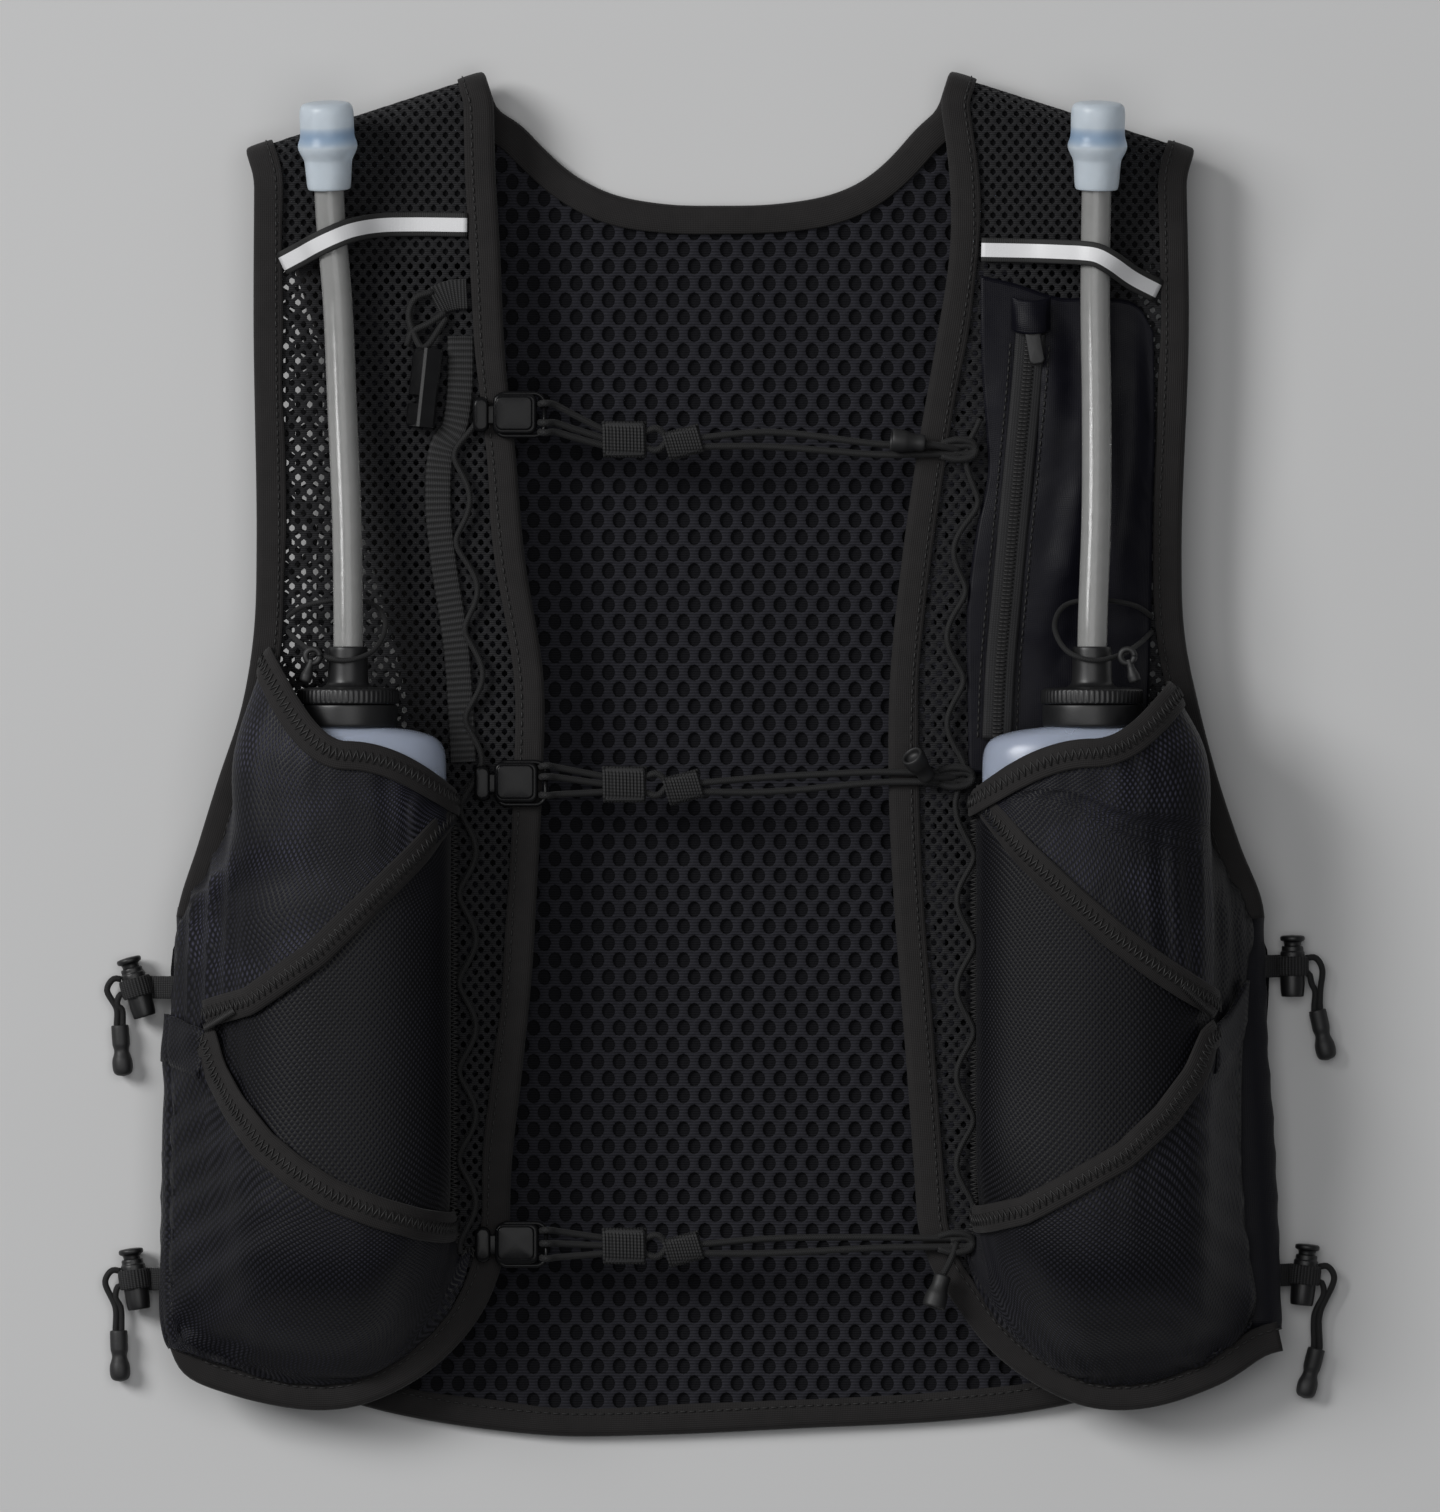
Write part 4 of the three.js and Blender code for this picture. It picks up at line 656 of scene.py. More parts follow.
class Wire:
    """A socket in a finish. Sums of wires and numbers add Math nodes."""

    def __init__(self, finish, socket):
        self.finish, self.socket = finish, socket

    def math(self, operation, *values):
        return self.finish.node("ShaderNodeMath", {"operation": operation}, dict(enumerate(values)))

    def __add__(self, other):
        return self.math("ADD", self, other)

    def __sub__(self, other):
        return self.math("SUBTRACT", self, other)

    def __rsub__(self, other):
        return self.math("SUBTRACT", other, self)

    def __mul__(self, other):
        return self.math("MULTIPLY", self, other)

    __radd__, __rmul__ = __add__, __mul__


class Finish:
    """A material on one shader, with its constant values set on the shader's own sockets."""

    def __init__(self, name, **constants):
        self.material = bpy.data.materials.new(name)
        self.material.use_nodes = True
        self.tree = self.material.node_tree
        self.shader = self.tree.nodes["Principled BSDF"]
        for socket, value in constants.items():
            self.shader.inputs[socket.replace("_", " ")].default_value = value

    def node(self, kind, settings=None, sockets=None, output=0):
        new = self.tree.nodes.new(kind)
        for key, value in (settings or {}).items():
            setattr(new, key, value)
        for key, value in (sockets or {}).items():
            self.feed(new.inputs[key], value)
        return Wire(self, new.outputs[output])

    def feed(self, socket, value):
        if isinstance(value, Wire):
            self.tree.links.new(value.socket, socket)
        else:
            socket.default_value = value

    def drive(self, socket, value):
        self.feed(self.shader.inputs[socket], value)

    def place(self):
        return self.node("ShaderNodeTexCoord", output="Object")

    def cloth(self):
        return self.node("ShaderNodeUVMap", {"uv_map": "cloth"})

    def parts(self, vector):
        split = self.tree.nodes.new("ShaderNodeSeparateXYZ")
        self.tree.links.new(vector.socket, split.inputs[0])
        return [Wire(self, out) for out in split.outputs]

    def noise(self, vector, size_mm, detail=3):
        sockets = {"Vector": vector, "Scale": 1 / (size_mm * MM), "Detail": detail}
        return self.node("ShaderNodeTexNoise", {}, sockets)

    def dots(self, vector, size_mm, loose=0.3):
        sockets = {"Vector": vector, "Scale": 1 / (size_mm * MM), "Randomness": loose}
        return self.node("ShaderNodeTexVoronoi", {}, sockets)

    def ribs(self, along, pitch_mm):
        """Rounded ribs from 0 to 1 across a coordinate."""
        return along.math("SINE", along * (2 * math.pi / (pitch_mm * MM))) * 0.5 + 0.5

    def mix(self, share, first, second):
        return self.blend(share, (*first, 1), (*second, 1))

    def blend(self, share, first, second):
        """Two colours or wires of colour, by share."""
        new = self.tree.nodes.new("ShaderNodeMix")
        new.data_type = "RGBA"
        self.feed(new.inputs[0], share)
        self.feed(new.inputs[6], first)
        self.feed(new.inputs[7], second)
        return Wire(self, new.outputs[2])

    def bump(self, height, depth_mm, strength=1.0):
        sockets = {"Height": height, "Distance": depth_mm * MM, "Strength": strength}
        self.drive("Normal", self.node("ShaderNodeBump", {}, sockets))


def shades(colour, darker, lighter):
    return [tuple(c * k for c in colour) for k in (darker, lighter)]


def knit_finish(name, colour, rib_mm, fuzz_mm, sheen):
    """Matt knitted cloth with fine ribs across the vest and a little fuzz."""
    f = Finish(name, Roughness=0.8, Specular_IOR_Level=0.15, Sheen_Weight=sheen, Sheen_Roughness=0.45)
    place = f.place()
    _, y, _ = f.parts(place)
    rib = f.ribs(y, rib_mm)
    fuzz = f.noise(place, fuzz_mm)
    f.drive("Base Color", f.mix(rib * 0.5 + fuzz * 0.5, *shades(colour, 0.3, 1.7)))
    f.bump(rib * 0.6 + fuzz * 0.4, 0.3)
    return f.material


def stretch_finish(name, colour, painted_light_gain):
    """Fine stretch knit: rows of small staggered cells, with painted light: the cells are coloured lighter in
    cloudy patches, for light that comes back through them.
    """
    f = Finish(name, Roughness=0.55, Specular_IOR_Level=0.2, Sheen_Weight=0.05, Sheen_Roughness=0.4)
    u, v, _ = f.parts(f.cloth())
    cell = f.ribs(u + v * 0.8, 1.8) * f.ribs(u - v * 0.8, 1.8)
    cloud = f.noise(f.place(), 22, 2)
    # painted light: a cloudy mask of patches where the cells take the lighter, lit colour
    painted_light_patches = cloud.math("SMOOTH_MIN", cloud.math("MAXIMUM", (cloud - 0.46) * 5, 0), 1, 0.1)
    dark, light = shades(colour, 0.1, 2.9)
    lit = tuple(c * painted_light_gain for c in colour)
    ground = f.mix(cell * 0.85 + cloud * 0.12, dark, light)
    f.drive("Base Color", f.blend(cell * cell * painted_light_patches, ground, (*lit, 1)))
    f.drive("Roughness", cell * 0.3 + 0.45)
    f.bump(cell, 0.16)
    return f.material


def woven_finish(name, colour, pitch_mm, shine, depth_mm=0.1):
    """Plain weave on the cloth's own directions."""
    f = Finish(name, Roughness=0.6, Specular_IOR_Level=shine, Sheen_Weight=0.04, Sheen_Roughness=0.35)
    u, v, _ = f.parts(f.cloth())
    weave = f.ribs(u, pitch_mm) * f.ribs(v, pitch_mm)
    cloud = f.noise(f.place(), 9)
    f.drive("Base Color", f.mix(weave * 0.6 + cloud * 0.4, *shades(colour, 0.7, 1.35)))
    f.drive("Roughness", cloud * 0.25 + 0.42)
    f.bump(weave * 0.7 + cloud * 0.3, depth_mm)
    return f.material


def nylon_finish(name, colour):
    """Thin glossy nylon with soft creases in it, their colour lighter on the crests and darker in the hollows
    as painted sheen and shade.
    """
    f = Finish(name, Specular_IOR_Level=0.13, Sheen_Weight=0.03, Sheen_Roughness=0.3)
    cloth = f.cloth()
    u, v, _ = f.parts(cloth)
    weave = f.ribs(u, 0.6) * f.ribs(v, 0.6)
    crease_and_painted_sheen = f.noise(cloth, 15, 2)
    # painted sheen and shade: the base colour follows the crease bump, lighter on its crests and darker in
    # its hollows
    f.drive("Base Color", f.mix(weave * 0.4 + crease_and_painted_sheen * 0.6, *shades(colour, 0.4, 1.6)))
    f.drive("Roughness", crease_and_painted_sheen * 0.2 + 0.34)
    f.bump(crease_and_painted_sheen + weave * 0.05, 1.0)
    return f.material


def webbing_finish(name, colour, pitch_mm):
    """Flat webbing: round ribs across it, with painted shade dark between them."""
    f = Finish(name, Roughness=0.65, Specular_IOR_Level=0.3, Sheen_Weight=0.05, Sheen_Roughness=0.4)
    u, v, _ = f.parts(f.cloth())
    # painted shade: darkest between the ribs; the quarter-pitch shift puts it in the hollows of the ridges
    # that flat_tape shapes when given ribs
    rib = f.ribs(u + pitch_mm * MM / 4, pitch_mm)
    thread = f.ribs(v, 0.6)
    f.drive("Base Color", f.mix(rib * 0.8 + thread * 0.2, *shades(colour, 0.12, 1.9)))
    f.bump(rib * 0.4 + thread * 0.6, 0.12)
    return f.material


def binding_finish(name, colour):
    """Folded knit tape: faint ribs along it, and scuffs."""
    f = Finish(name, Roughness=0.75, Specular_IOR_Level=0.25, Sheen_Weight=0.05, Sheen_Roughness=0.5)
    u, v, _ = f.parts(f.cloth())
    rib = f.ribs(v, 0.7) * 0.6 + f.ribs(u, 0.55) * 0.4
    scuff = f.noise(f.place(), 6, 5)
    f.drive("Base Color", f.mix(rib * 0.4 + scuff * 0.6, *shades(colour, 0.45, 1.55)))
    f.bump(rib * 0.6 + scuff * 0.4, 0.18)
    return f.material


def braid_finish(name, colour):
    """Round braid: a twill that runs round the cord."""
    f = Finish(name, Roughness=0.65, Specular_IOR_Level=0.3, Sheen_Weight=0.05)
    u, v, _ = f.parts(f.cloth())
    braid = f.ribs(u + v, 0.8) * f.ribs(u - v, 0.8)
    f.drive("Base Color", f.mix(braid, *shades(colour, 0.55, 1.5)))
    f.bump(braid, 0.12)
    return f.material


def moulded_finish(name, colour, gloss, grain_mm=0.5, depth_mm=0.02, shine=0.5):
    """Moulded plastic or rubber with a fine grain and handling marks."""
    f = Finish(name, Roughness=gloss, Specular_IOR_Level=shine)
    place = f.place()
    grain = f.noise(place, grain_mm)
    marks = f.noise(place, 5, 5)
    f.drive("Base Color", f.mix(marks, *shades(colour, 0.8, 1.25)))
    f.drive("Roughness", marks * 0.2 + (gloss - 0.1))
    f.bump(grain, depth_mm)
    return f.material


def clear_finish(name, colour, rough, through, cloud_mm):
    """Soft translucent plastic with faint clouds."""
    f = Finish(name, Roughness=rough, Transmission_Weight=through, IOR=1.42)
    cloud = f.noise(f.place(), cloud_mm)
    f.drive("Base Color", f.mix(cloud, *shades(colour, 0.88, 1.06)))
    f.drive("Roughness", cloud * 0.2 + (rough - 0.1))
    f.bump(cloud, 0.1)
    return f.material


def valve_finish(name, colour, band, middle_mm, half_mm):
    """Milky silicone with a darker band round it, where its inner ring shows through."""
    f = Finish(name, Roughness=0.35, Transmission_Weight=0.4, IOR=1.42)
    u, _, _ = f.parts(f.cloth())
    away = u.math("ABSOLUTE", u - middle_mm * MM) * (1 / (half_mm * MM))
    on = away.math("MAXIMUM", 1 - away * away, 0)
    cloud = f.noise(f.place(), 5)
    f.drive("Base Color", f.blend(on, f.mix(cloud, *shades(colour, 0.88, 1.06)), (*band, 1)))
    f.drive("Roughness", cloud * 0.2 + 0.25)
    f.bump(cloud, 0.1)
    return f.material


def reflective_finish(name, stripe, edge, half_stripe_mm, middle_mm):
    """A reflective stripe down the middle of a dark tape."""
    f = Finish(name, Roughness=0.5)
    u, v, _ = f.parts(f.cloth())
    away = v.math("ABSOLUTE", v - middle_mm * MM)
    on = away.math("LESS_THAN", away, half_stripe_mm * MM)
    bead = f.dots(f.place(), 0.5)
    f.drive("Base Color", f.mix(on, edge, stripe))
    f.drive("Roughness", 0.75 - on * 0.35)
    f.bump(bead * on + f.ribs(u, 0.7) * (1 - on), 0.05)
    return f.material


RIB = 1.06
DAISY_RIB = 2.0
SPACER = knit_finish("spacer_knit", (0.017, 0.017, 0.022), 1.0, 0.8, 0.06)
OPEN_KNIT = knit_finish("open_knit", (0.019, 0.019, 0.0205), 0.7, 0.6, 0.06)
LINING = knit_finish("lining_knit", (0.0022, 0.0022, 0.003), 0.8, 0.6, 0.0)
BACK_LINING = knit_finish("back_lining_knit", (0.0045, 0.0045, 0.006), 0.8, 0.6, 0.0)
STRETCH = stretch_finish("stretch_knit", (0.0046, 0.0046, 0.0078), 4)
# painted light: a lighter copy of the stretch knit, with more lit patches, where the cloth lies over a flask
PAINTED_LIGHT_OVER_FLASK = stretch_finish("stretch_over_flask_painted_light", (0.0052, 0.0052, 0.0086), 10)
# painted shade: a darker copy of the stretch knit for the pocket layer that lies under the others
PAINTED_SHADE_UNDER_LAYERS = stretch_finish("stretch_under_layers_painted_shade", (0.0022, 0.0022, 0.0040), 3)
NYLON = nylon_finish("navy_nylon", (0.0034, 0.0033, 0.0068))
GUSSET = woven_finish("side_cloth", (0.005, 0.005, 0.0085), 0.6, 0.2)
BINDING = binding_finish("binding_tape", (0.0125, 0.0113, 0.0113))
WEBBING = webbing_finish("webbing", (0.014, 0.014, 0.0145), RIB)
DAISY_WEBBING = webbing_finish("daisy_webbing", (0.014, 0.014, 0.0145), DAISY_RIB)
ZIP_TAPE = woven_finish("zip_tape", (0.010, 0.010, 0.011), 0.8, 0.25)
THREAD = moulded_finish("thread", (0.010, 0.0095, 0.0095), 0.6)
BRAID = braid_finish("elastic_braid", (0.012, 0.012, 0.0125))
GLOSS = moulded_finish("gloss_black", (0.005, 0.005, 0.0055), 0.2)
BUCKLE_GLOSS = moulded_finish("buckle_black", (0.005, 0.005, 0.0055), 0.26, shine=0.16)
SATIN = moulded_finish("satin_black", (0.008, 0.008, 0.0085), 0.42)
RUBBER = moulded_finish("black_rubber", (0.012, 0.012, 0.0125), 0.55, 0.8, 0.04)
FILM = clear_finish("flask_film", (0.68, 0.75, 0.9), 0.24, 0.6, 24)
TUBE = clear_finish("straw_tube", (0.48, 0.48, 0.47), 0.18, 0.5, 6)
SILICONE = valve_finish("silicone", (0.78, 0.86, 0.93), (0.36, 0.5, 0.68), 27.4, 3.4)
REFLECT = reflective_finish("reflective_tape", (0.72, 0.72, 0.73), (0.012, 0.012, 0.012), 2.3, 4.3)

# Camera, light and floor


def make_camera():
    data = bpy.data.cameras.new("camera")
    data.sensor_width = CAMERA["sensor"]
    data.lens = CAMERA["sensor"] * CAMERA["distance"] / (PHOTO["height"] * PHOTO["mm_per_pixel"])
    data.clip_end = 100
    camera = bpy.data.objects.new("camera", data)
    camera.location.z = (CAMERA["distance"] + CAMERA["plane"]) * MM
    bpy.context.collection.objects.link(camera)
    bpy.context.scene.camera = camera


LIGHTS = {
    "key": dict(at=(-3.4, 1.8, 3.2), size=1.9, watts=164),
    "top": dict(at=(0.0, 0.1, 1.35), size=1.0, watts=5.2),
}


def make_lights():
    for name, light in LIGHTS.items():
        data = bpy.data.lights.new(name, "AREA")
        data.energy = light["watts"]
        data.size = light["size"]
        lamp = bpy.data.objects.new(name, data)
        lamp.location = light["at"]
        lamp.rotation_euler = (-Vector(light["at"])).to_track_quat("-Z", "Y").to_euler()
        bpy.context.collection.objects.link(lamp)
    world = bpy.data.worlds.new("studio")
    world.use_nodes = True
    world.node_tree.nodes["Background"].inputs["Color"].default_value = (0.8, 0.82, 0.85, 1)
    world.node_tree.nodes["Background"].inputs["Strength"].default_value = 0.136
    bpy.context.scene.world = world
    bpy.context.scene.view_settings.view_transform = "Standard"


def make_floor():
    f = Finish("pale_floor", Roughness=0.9)
    f.drive("Base Color", f.mix(f.noise(f.place(), 300), (0.60, 0.60, 0.60), (0.64, 0.64, 0.64)))
    half, low = 3000, -0.6
    corners = [(-half, -half, low), (half, -half, low), (half, half, low), (-half, half, low)]
    floor = bpy.data.objects.new("floor", mesh_of("floor", corners, [(0, 1, 2, 3)]))
    bpy.context.collection.objects.link(floor)
    floor.data.materials.append(f.material)


make_camera()
make_lights()
make_floor()

# Side cords: a loop of elastic out of each lock, with a sleeve over its end

STRAND_IN_SLEEVE = 1.0
SLEEVE_PROFILE = [
    (0.4, 0), (2.7, 0), (2.95, 0.5), (2.95, 6.2), (2.8, 7.0), (2.4, 8.4), (2.7, 9.8), (3.4, 11.6),
    (3.4, 14.8), (2.6, 16.5), (0.2, 17)]


def side_cord(name, side, lock, turn, tip, tip_turn):
    s = SIDES[side]
    slant = math.tan(math.radians(turn))
    axis = direction(180 + tip_turn)
    across = np.array([abs(axis[1]), axis[0] * (1 if axis[1] < 0 else -1), 0]) * s * STRAND_IN_SLEEVE
    end = np.array([*tip, TIP_RADIUS + GAP])

    def strand(along, bulge, half):
        x = lock[0] + s * (LOCK_RADIUS + GAP + 0.3) - along * slant
        return [
            (x, lock[1] + along, LOCK_Z),
            (lock[0] + s * (LOCK_RADIUS + 0.62 * bulge), lock[1] + along + 0.2, LOCK_Z + 0.4),
            (lock[0] + s * (LOCK_RADIUS + bulge), lock[1] + along - 3.4, LOCK_Z + 0.4),
            (tip[0] + s * (bulge - 4) * 0.5, (lock[1] + tip[1]) / 2 - 1, LOCK_Z),
            end + across * half,
            end + axis * 4 + across * half,
        ]

    route = np.array([*strand(2.6, 6, 1), end + axis * 6.2, *strand(-2.6, 2.6, -1)[::-1]])
    path = spaced(spline(route, 160), 0.9)
    node = f"side_cord_{name}"
    cord = piece(node, tube(path, CORD_RADIUS * 0.95, 10), BRAID, [node])
    sleeve = turned(rounded(SLEEVE_PROFILE), end, axis, 24)
    cap = piece(f"side_cord_sleeve_{name}", sleeve, RUBBER)
    path[0] * MM
    path * MM


for lock_name, lock_facts in SIDE_LOCKS.items():
    side_cord(lock_name, **lock_facts)

# Forms that the cloth follows

FRONT_ROWS, FRONT_COLUMNS, FOLD_ROWS = 121, 41, 21


def front_grid(side):
    """The middle of a front's cloth from the hem to the shoulder fold, then over the fold to the tail."""
    inner = spline(rows_of(INNER_EDGE, side, "y", "z"), FRONT_ROWS)
    outer = spline(rows_of(OUTER_EDGE, side, "y", "z"), FRONT_ROWS)
    hem = spline(rows_of(FRONT_HEM, side, "y", "z"), FRONT_COLUMNS)
    left, right, bottom = (outer, inner, hem) if side == "left" else (inner, outer, hem[::-1])
    flat = coons(bottom, np.linspace(left[-1], right[-1], FRONT_COLUMNS), left, right)
    up = np.array([0, 0, 1.0])
    away = np.cross(up, unit(right[-1] - left[-1]))
    turns = np.linspace(0, np.pi, FOLD_ROWS)[1:]
    rolled = [flat[-1] + away * FOLD_RADIUS * np.sin(t) + up * FOLD_RADIUS * (np.cos(t) - 1) for t in turns]
    tail = rolled[-1] - away * FRONT_TAIL
    return np.concatenate([flat, rolled, [tail]]), away


FRONTS, FRONT_AWAY = {}, {}
for side_name in SIDES:
    FRONTS[side_name], FRONT_AWAY[side_name] = front_grid(side_name)
FRONT_TOP = {
    side: Cloth((grid + normals_of(grid) * FRONT_WALL / 2)[:FRONT_ROWS]) for side, grid in FRONTS.items()
}


def back_edges(count):
    """The back's outline as four lines: the hem, the right side, the neck and the left side."""
    level = lambda rows: np.column_stack([rows, np.full(len(rows), BACK_EDGE_Z)])
    hem = level(spline(rows_of(BACK_HEM, "x", "y"), count))
    neck = level(spline(rows_of(NECK, "x", "y"), count))
    side = spline(rows_of(BACK_SIDE, "out", "y"), count)
    left, right = (level(side * (s, 1)) for s in (-1, 1))
    return hem, right, neck, left


def inside(outline, points):
    """Which points lie in a closed outline in the plane."""
    x, y = points[:, :1], points[:, 1:2]
    ax, ay = outline[:, 0], outline[:, 1]
    bx, by = np.roll(ax, -1), np.roll(ay, -1)
    crosses = (ay > y) != (by > y)
    level = np.where(by == ay, 1, by - ay)
    return ((crosses & (x < (bx - ax) * (y - ay) / level + ax)).sum(1) % 2).astype(bool)


def nearest(points, rim):
    """How far each point is from the nearest point of a rim, in the plane."""
    apart = lambda group: np.linalg.norm(rim[None, :, :2] - group[:, None, :2], axis=2)
    return np.concatenate([apart(group).min(1) for group in np.array_split(points, 40)])


HEM_LINE, RIGHT_LINE, NECK_LINE, LEFT_LINE = back_edges(241)
BACK_OUTLINE = np.vstack([HEM_LINE, RIGHT_LINE, NECK_LINE[::-1], LEFT_LINE[::-1]])
BACK_RIM = spaced(BACK_OUTLINE, 2)
EDGE_RISE = 1.0


def back_rise(points):
    """The back lies flat, and rises a little on to its bound edges."""
    return EDGE_RISE * (1 - ease(nearest(points, BACK_RIM), 3, 22))


# Open cloth: a net of six-sided cells with a hole in each


def cell(pitch, row, hole, depth, points=6):
    """One cell of a staggered net, its hole's wall included."""
    corners = np.array([(0.5, 1 / 3), (0, 2 / 3), (-0.5, 1 / 3), (-0.5, -1 / 3), (0, -2 / 3), (0.5, -1 / 3)])
    corners = corners * (pitch, row)
    if points == 12:
        corners = np.stack([corners, (corners + np.roll(corners, -1, 0)) / 2], 1).reshape(-1, 2)
    angle = np.arctan2(corners[:, 1], corners[:, 0])
    rim = np.stack([np.cos(angle) * hole[0] / 2, np.sin(angle) * hole[1] / 2], 1)
    flat = lambda ring, z: np.column_stack([ring, np.full(len(ring), z)])
    rings = [flat(corners, 0), flat(rim * 1.12, -0.05), flat(rim, -0.3), flat(rim, -depth)]
    n = len(corners)
    faces = []
    for r in range(len(rings) - 1):
        for k in range(n):
            a, b = r * n + k, r * n + (k + 1) % n
            faces.append((a, b, b + n, a + n))
    return np.vstack(rings), faces


def lattice(low, high, pitch, row):
    """Middles of staggered cells over a rectangle."""
    x = np.arange(low[0], high[0], pitch)
    rows = enumerate(np.arange(low[1], high[1], row))
    return np.vstack([np.column_stack([x + (k % 2) * pitch / 2, np.full(len(x), y)]) for k, y in rows])


def along_of(facing):
    """Directions on a surface that point across the vest."""
    across = np.array([1.0, 0, 0])
    return unit(across - facing * (facing @ across)[:, None])


BACK_CELL = dict(pitch=7.1, row=5.6, hole=(4.3, 5.3), depth=1.4)
FRONT_CELL = dict(pitch=3.9, row=2.4, hole=(1.9, 2.4), depth=0.8)
UNDER_CELL = dict(pitch=6.8, row=5.0, hole=(5.2, 4.8), depth=0.5)
UNDER_DROP = 1.6
CELL_RISE = 0.45
CELL_WELD = 0.15
LINED_FROM = 163
UNDER_SIDE_CLOTH = {"out": 160, "y": -44}


def declare(grid):
    """Works out the width, length and area of the sheet that a grid stands for; nothing uses them."""
    width = np.linalg.norm(np.diff(grid, axis=1), axis=2).sum(1).max() * MM
    length = np.linalg.norm(np.diff(grid, axis=0), axis=2).sum(0).max() * MM
    area = min(area_of(grid) * MM * MM, width * length)


def back_panel():
    spots = lattice((-186, -230), (186, 222), BACK_CELL["pitch"], BACK_CELL["row"])
    spots = spots[inside(BACK_OUTLINE[:, :2], spots)]
    spots = spots[nearest(spots, BACK_RIM) > BACK_CELL["pitch"] / 2]
    rise = back_rise(spots)
    points = np.column_stack([spots, BACK_WALL + rise])
    slope = np.column_stack([
        (back_rise(spots + (1, 0)) - rise), (back_rise(spots + (0, 1)) - rise), np.zeros(len(spots))])
    facing = unit(np.array([0, 0, 1.0]) - slope)
    net = repeat(
        "back_panel", points, along_of(facing), facing, cell(**BACK_CELL, points=12), SPACER,
        weld=CELL_WELD, nodes=["back_panel"])
    straps, neck = 9, 46
    top = np.vstack([
        np.linspace(LEFT_LINE[-1], NECK_LINE[0], straps, endpoint=False), spline(NECK_LINE, neck),
        np.linspace(NECK_LINE[-1], RIGHT_LINE[-1], straps + 1)[1:]])
    hem = spline(HEM_LINE, len(top))
    grid = coons(hem, top, spline(LEFT_LINE, 70), spline(RIGHT_LINE, 70))
    shoulder = np.r_[0:straps + 1, straps + neck - 1:len(top)]
    grid[-1, shoulder, 1] -= FRONT_TAIL + GAP
    flat = grid.reshape(-1, 3)
    flat[:, 2] = 0.9 + back_rise(flat)
    grid = flat.reshape(grid.shape)
    lining = piece("back_lining", shell(grid, 1.4), BACK_LINING)
    declare(grid)


def above(grid, y):
    """A front's columns again, each from this far up the vest."""
    columns = []
    for column in grid.transpose(1, 0, 2):
        rows = np.arange(len(column))
        first = np.interp(y, column[:FRONT_ROWS, 1], rows[:FRONT_ROWS])
        at = np.linspace(first, rows[-1], 61)
        columns.append(carried(column, rows, at))
    return np.array(columns).transpose(1, 0, 2)


def front_panel(side):
    grid = FRONTS[side]
    away = FRONT_AWAY[side]
    pitch, row = FRONT_CELL["pitch"], FRONT_CELL["row"]
    fold = grid[FRONT_ROWS - 1]
    start = fold[0]
    line = unit(fold[-1] - fold[0])
    span = np.linalg.norm(fold[-1] - fold[0])
    s = SIDES[side]
    low, high = sorted((s * 55, s * 190))
    middle = Cloth(grid[:FRONT_ROWS])
    points, facing = [], []
    spots = lattice((low, -220), (high, 255), pitch, row)
    rims = (grid[:FRONT_ROWS, 0], grid[:FRONT_ROWS, -1], grid[0])
    edges = np.vstack([spaced(rim, 1) for rim in rims])
    covered = (np.abs(spots[:, 0]) > UNDER_SIDE_CLOTH["out"]) & (spots[:, 1] < UNDER_SIDE_CLOTH["y"])
    for x, y in spots[(nearest(spots, edges) > pitch / 2) & ~covered]:
        past = (np.array([x, y, SHOULDER_Z]) - start) @ away
        if past <= 0:
            hit = middle.at(x, y)
            if hit:
                points.append((x, y, hit[0] + CELL_RISE))
                facing.append(hit[1])
            continue
        base = np.array([x, y, SHOULDER_Z]) - away * past
        turn = past / FOLD_RADIUS
        if turn < np.pi and pitch / 2 < (base - start) @ line < span - pitch / 2:
            out = away * math.sin(turn) + np.array([0, 0, math.cos(turn)])
            points.append(base - (0, 0, FOLD_RADIUS) + out * (FOLD_RADIUS + CELL_RISE))
            facing.append(out)
    facing = np.array([tuple(f) for f in facing])
    net = repeat(
        f"front_panel_{side}", np.array(points), along_of(facing), facing, cell(**FRONT_CELL), OPEN_KNIT,
        weld=CELL_WELD, nodes=[f"front_panel_{side}"])
    declare(grid)
    spots = lattice((low, UNDER_SIDE_CLOTH["y"]), (high, LINED_FROM), UNDER_CELL["pitch"], UNDER_CELL["row"])
    spots = spots[(nearest(spots, edges) > UNDER_CELL["pitch"] / 2) & ~inside(BACK_OUTLINE[:, :2], spots)]
    hits = [(x, y, middle.at(x, y)) for x, y in spots]
    below = np.array([(x, y, hit[0] - UNDER_DROP) for x, y, hit in hits if hit])
    facing = np.array([tuple(hit[1]) for _, _, hit in hits if hit])
    repeat(
        f"front_backing_{side}", below, along_of(facing), facing, cell(**UNDER_CELL), OPEN_KNIT,
        weld=CELL_WELD)
    rolled = above(grid[:, 1:-1], LINED_FROM)
    piece(f"shoulder_lining_{side}", shell(rolled - normals_of(rolled) * 0.9, 0.6), LINING)


back_panel()
for side_name in SIDES:
    front_panel(side_name)

# Bindings: folded tapes over the edges, each with a row of stitches

FRONT_DRAW = (FRONT_WALL / 2 + GAP + BINDING_WALL) / (BACK_WALL / 2 + GAP + BINDING_WALL)
ARMHOLE_LOW = {"front": -56, "back": -48}
JOIN_CLEAR = 9
EDGE_END = {"points": [(186.4, -195), (180, -196.4)], "from_x": 172}


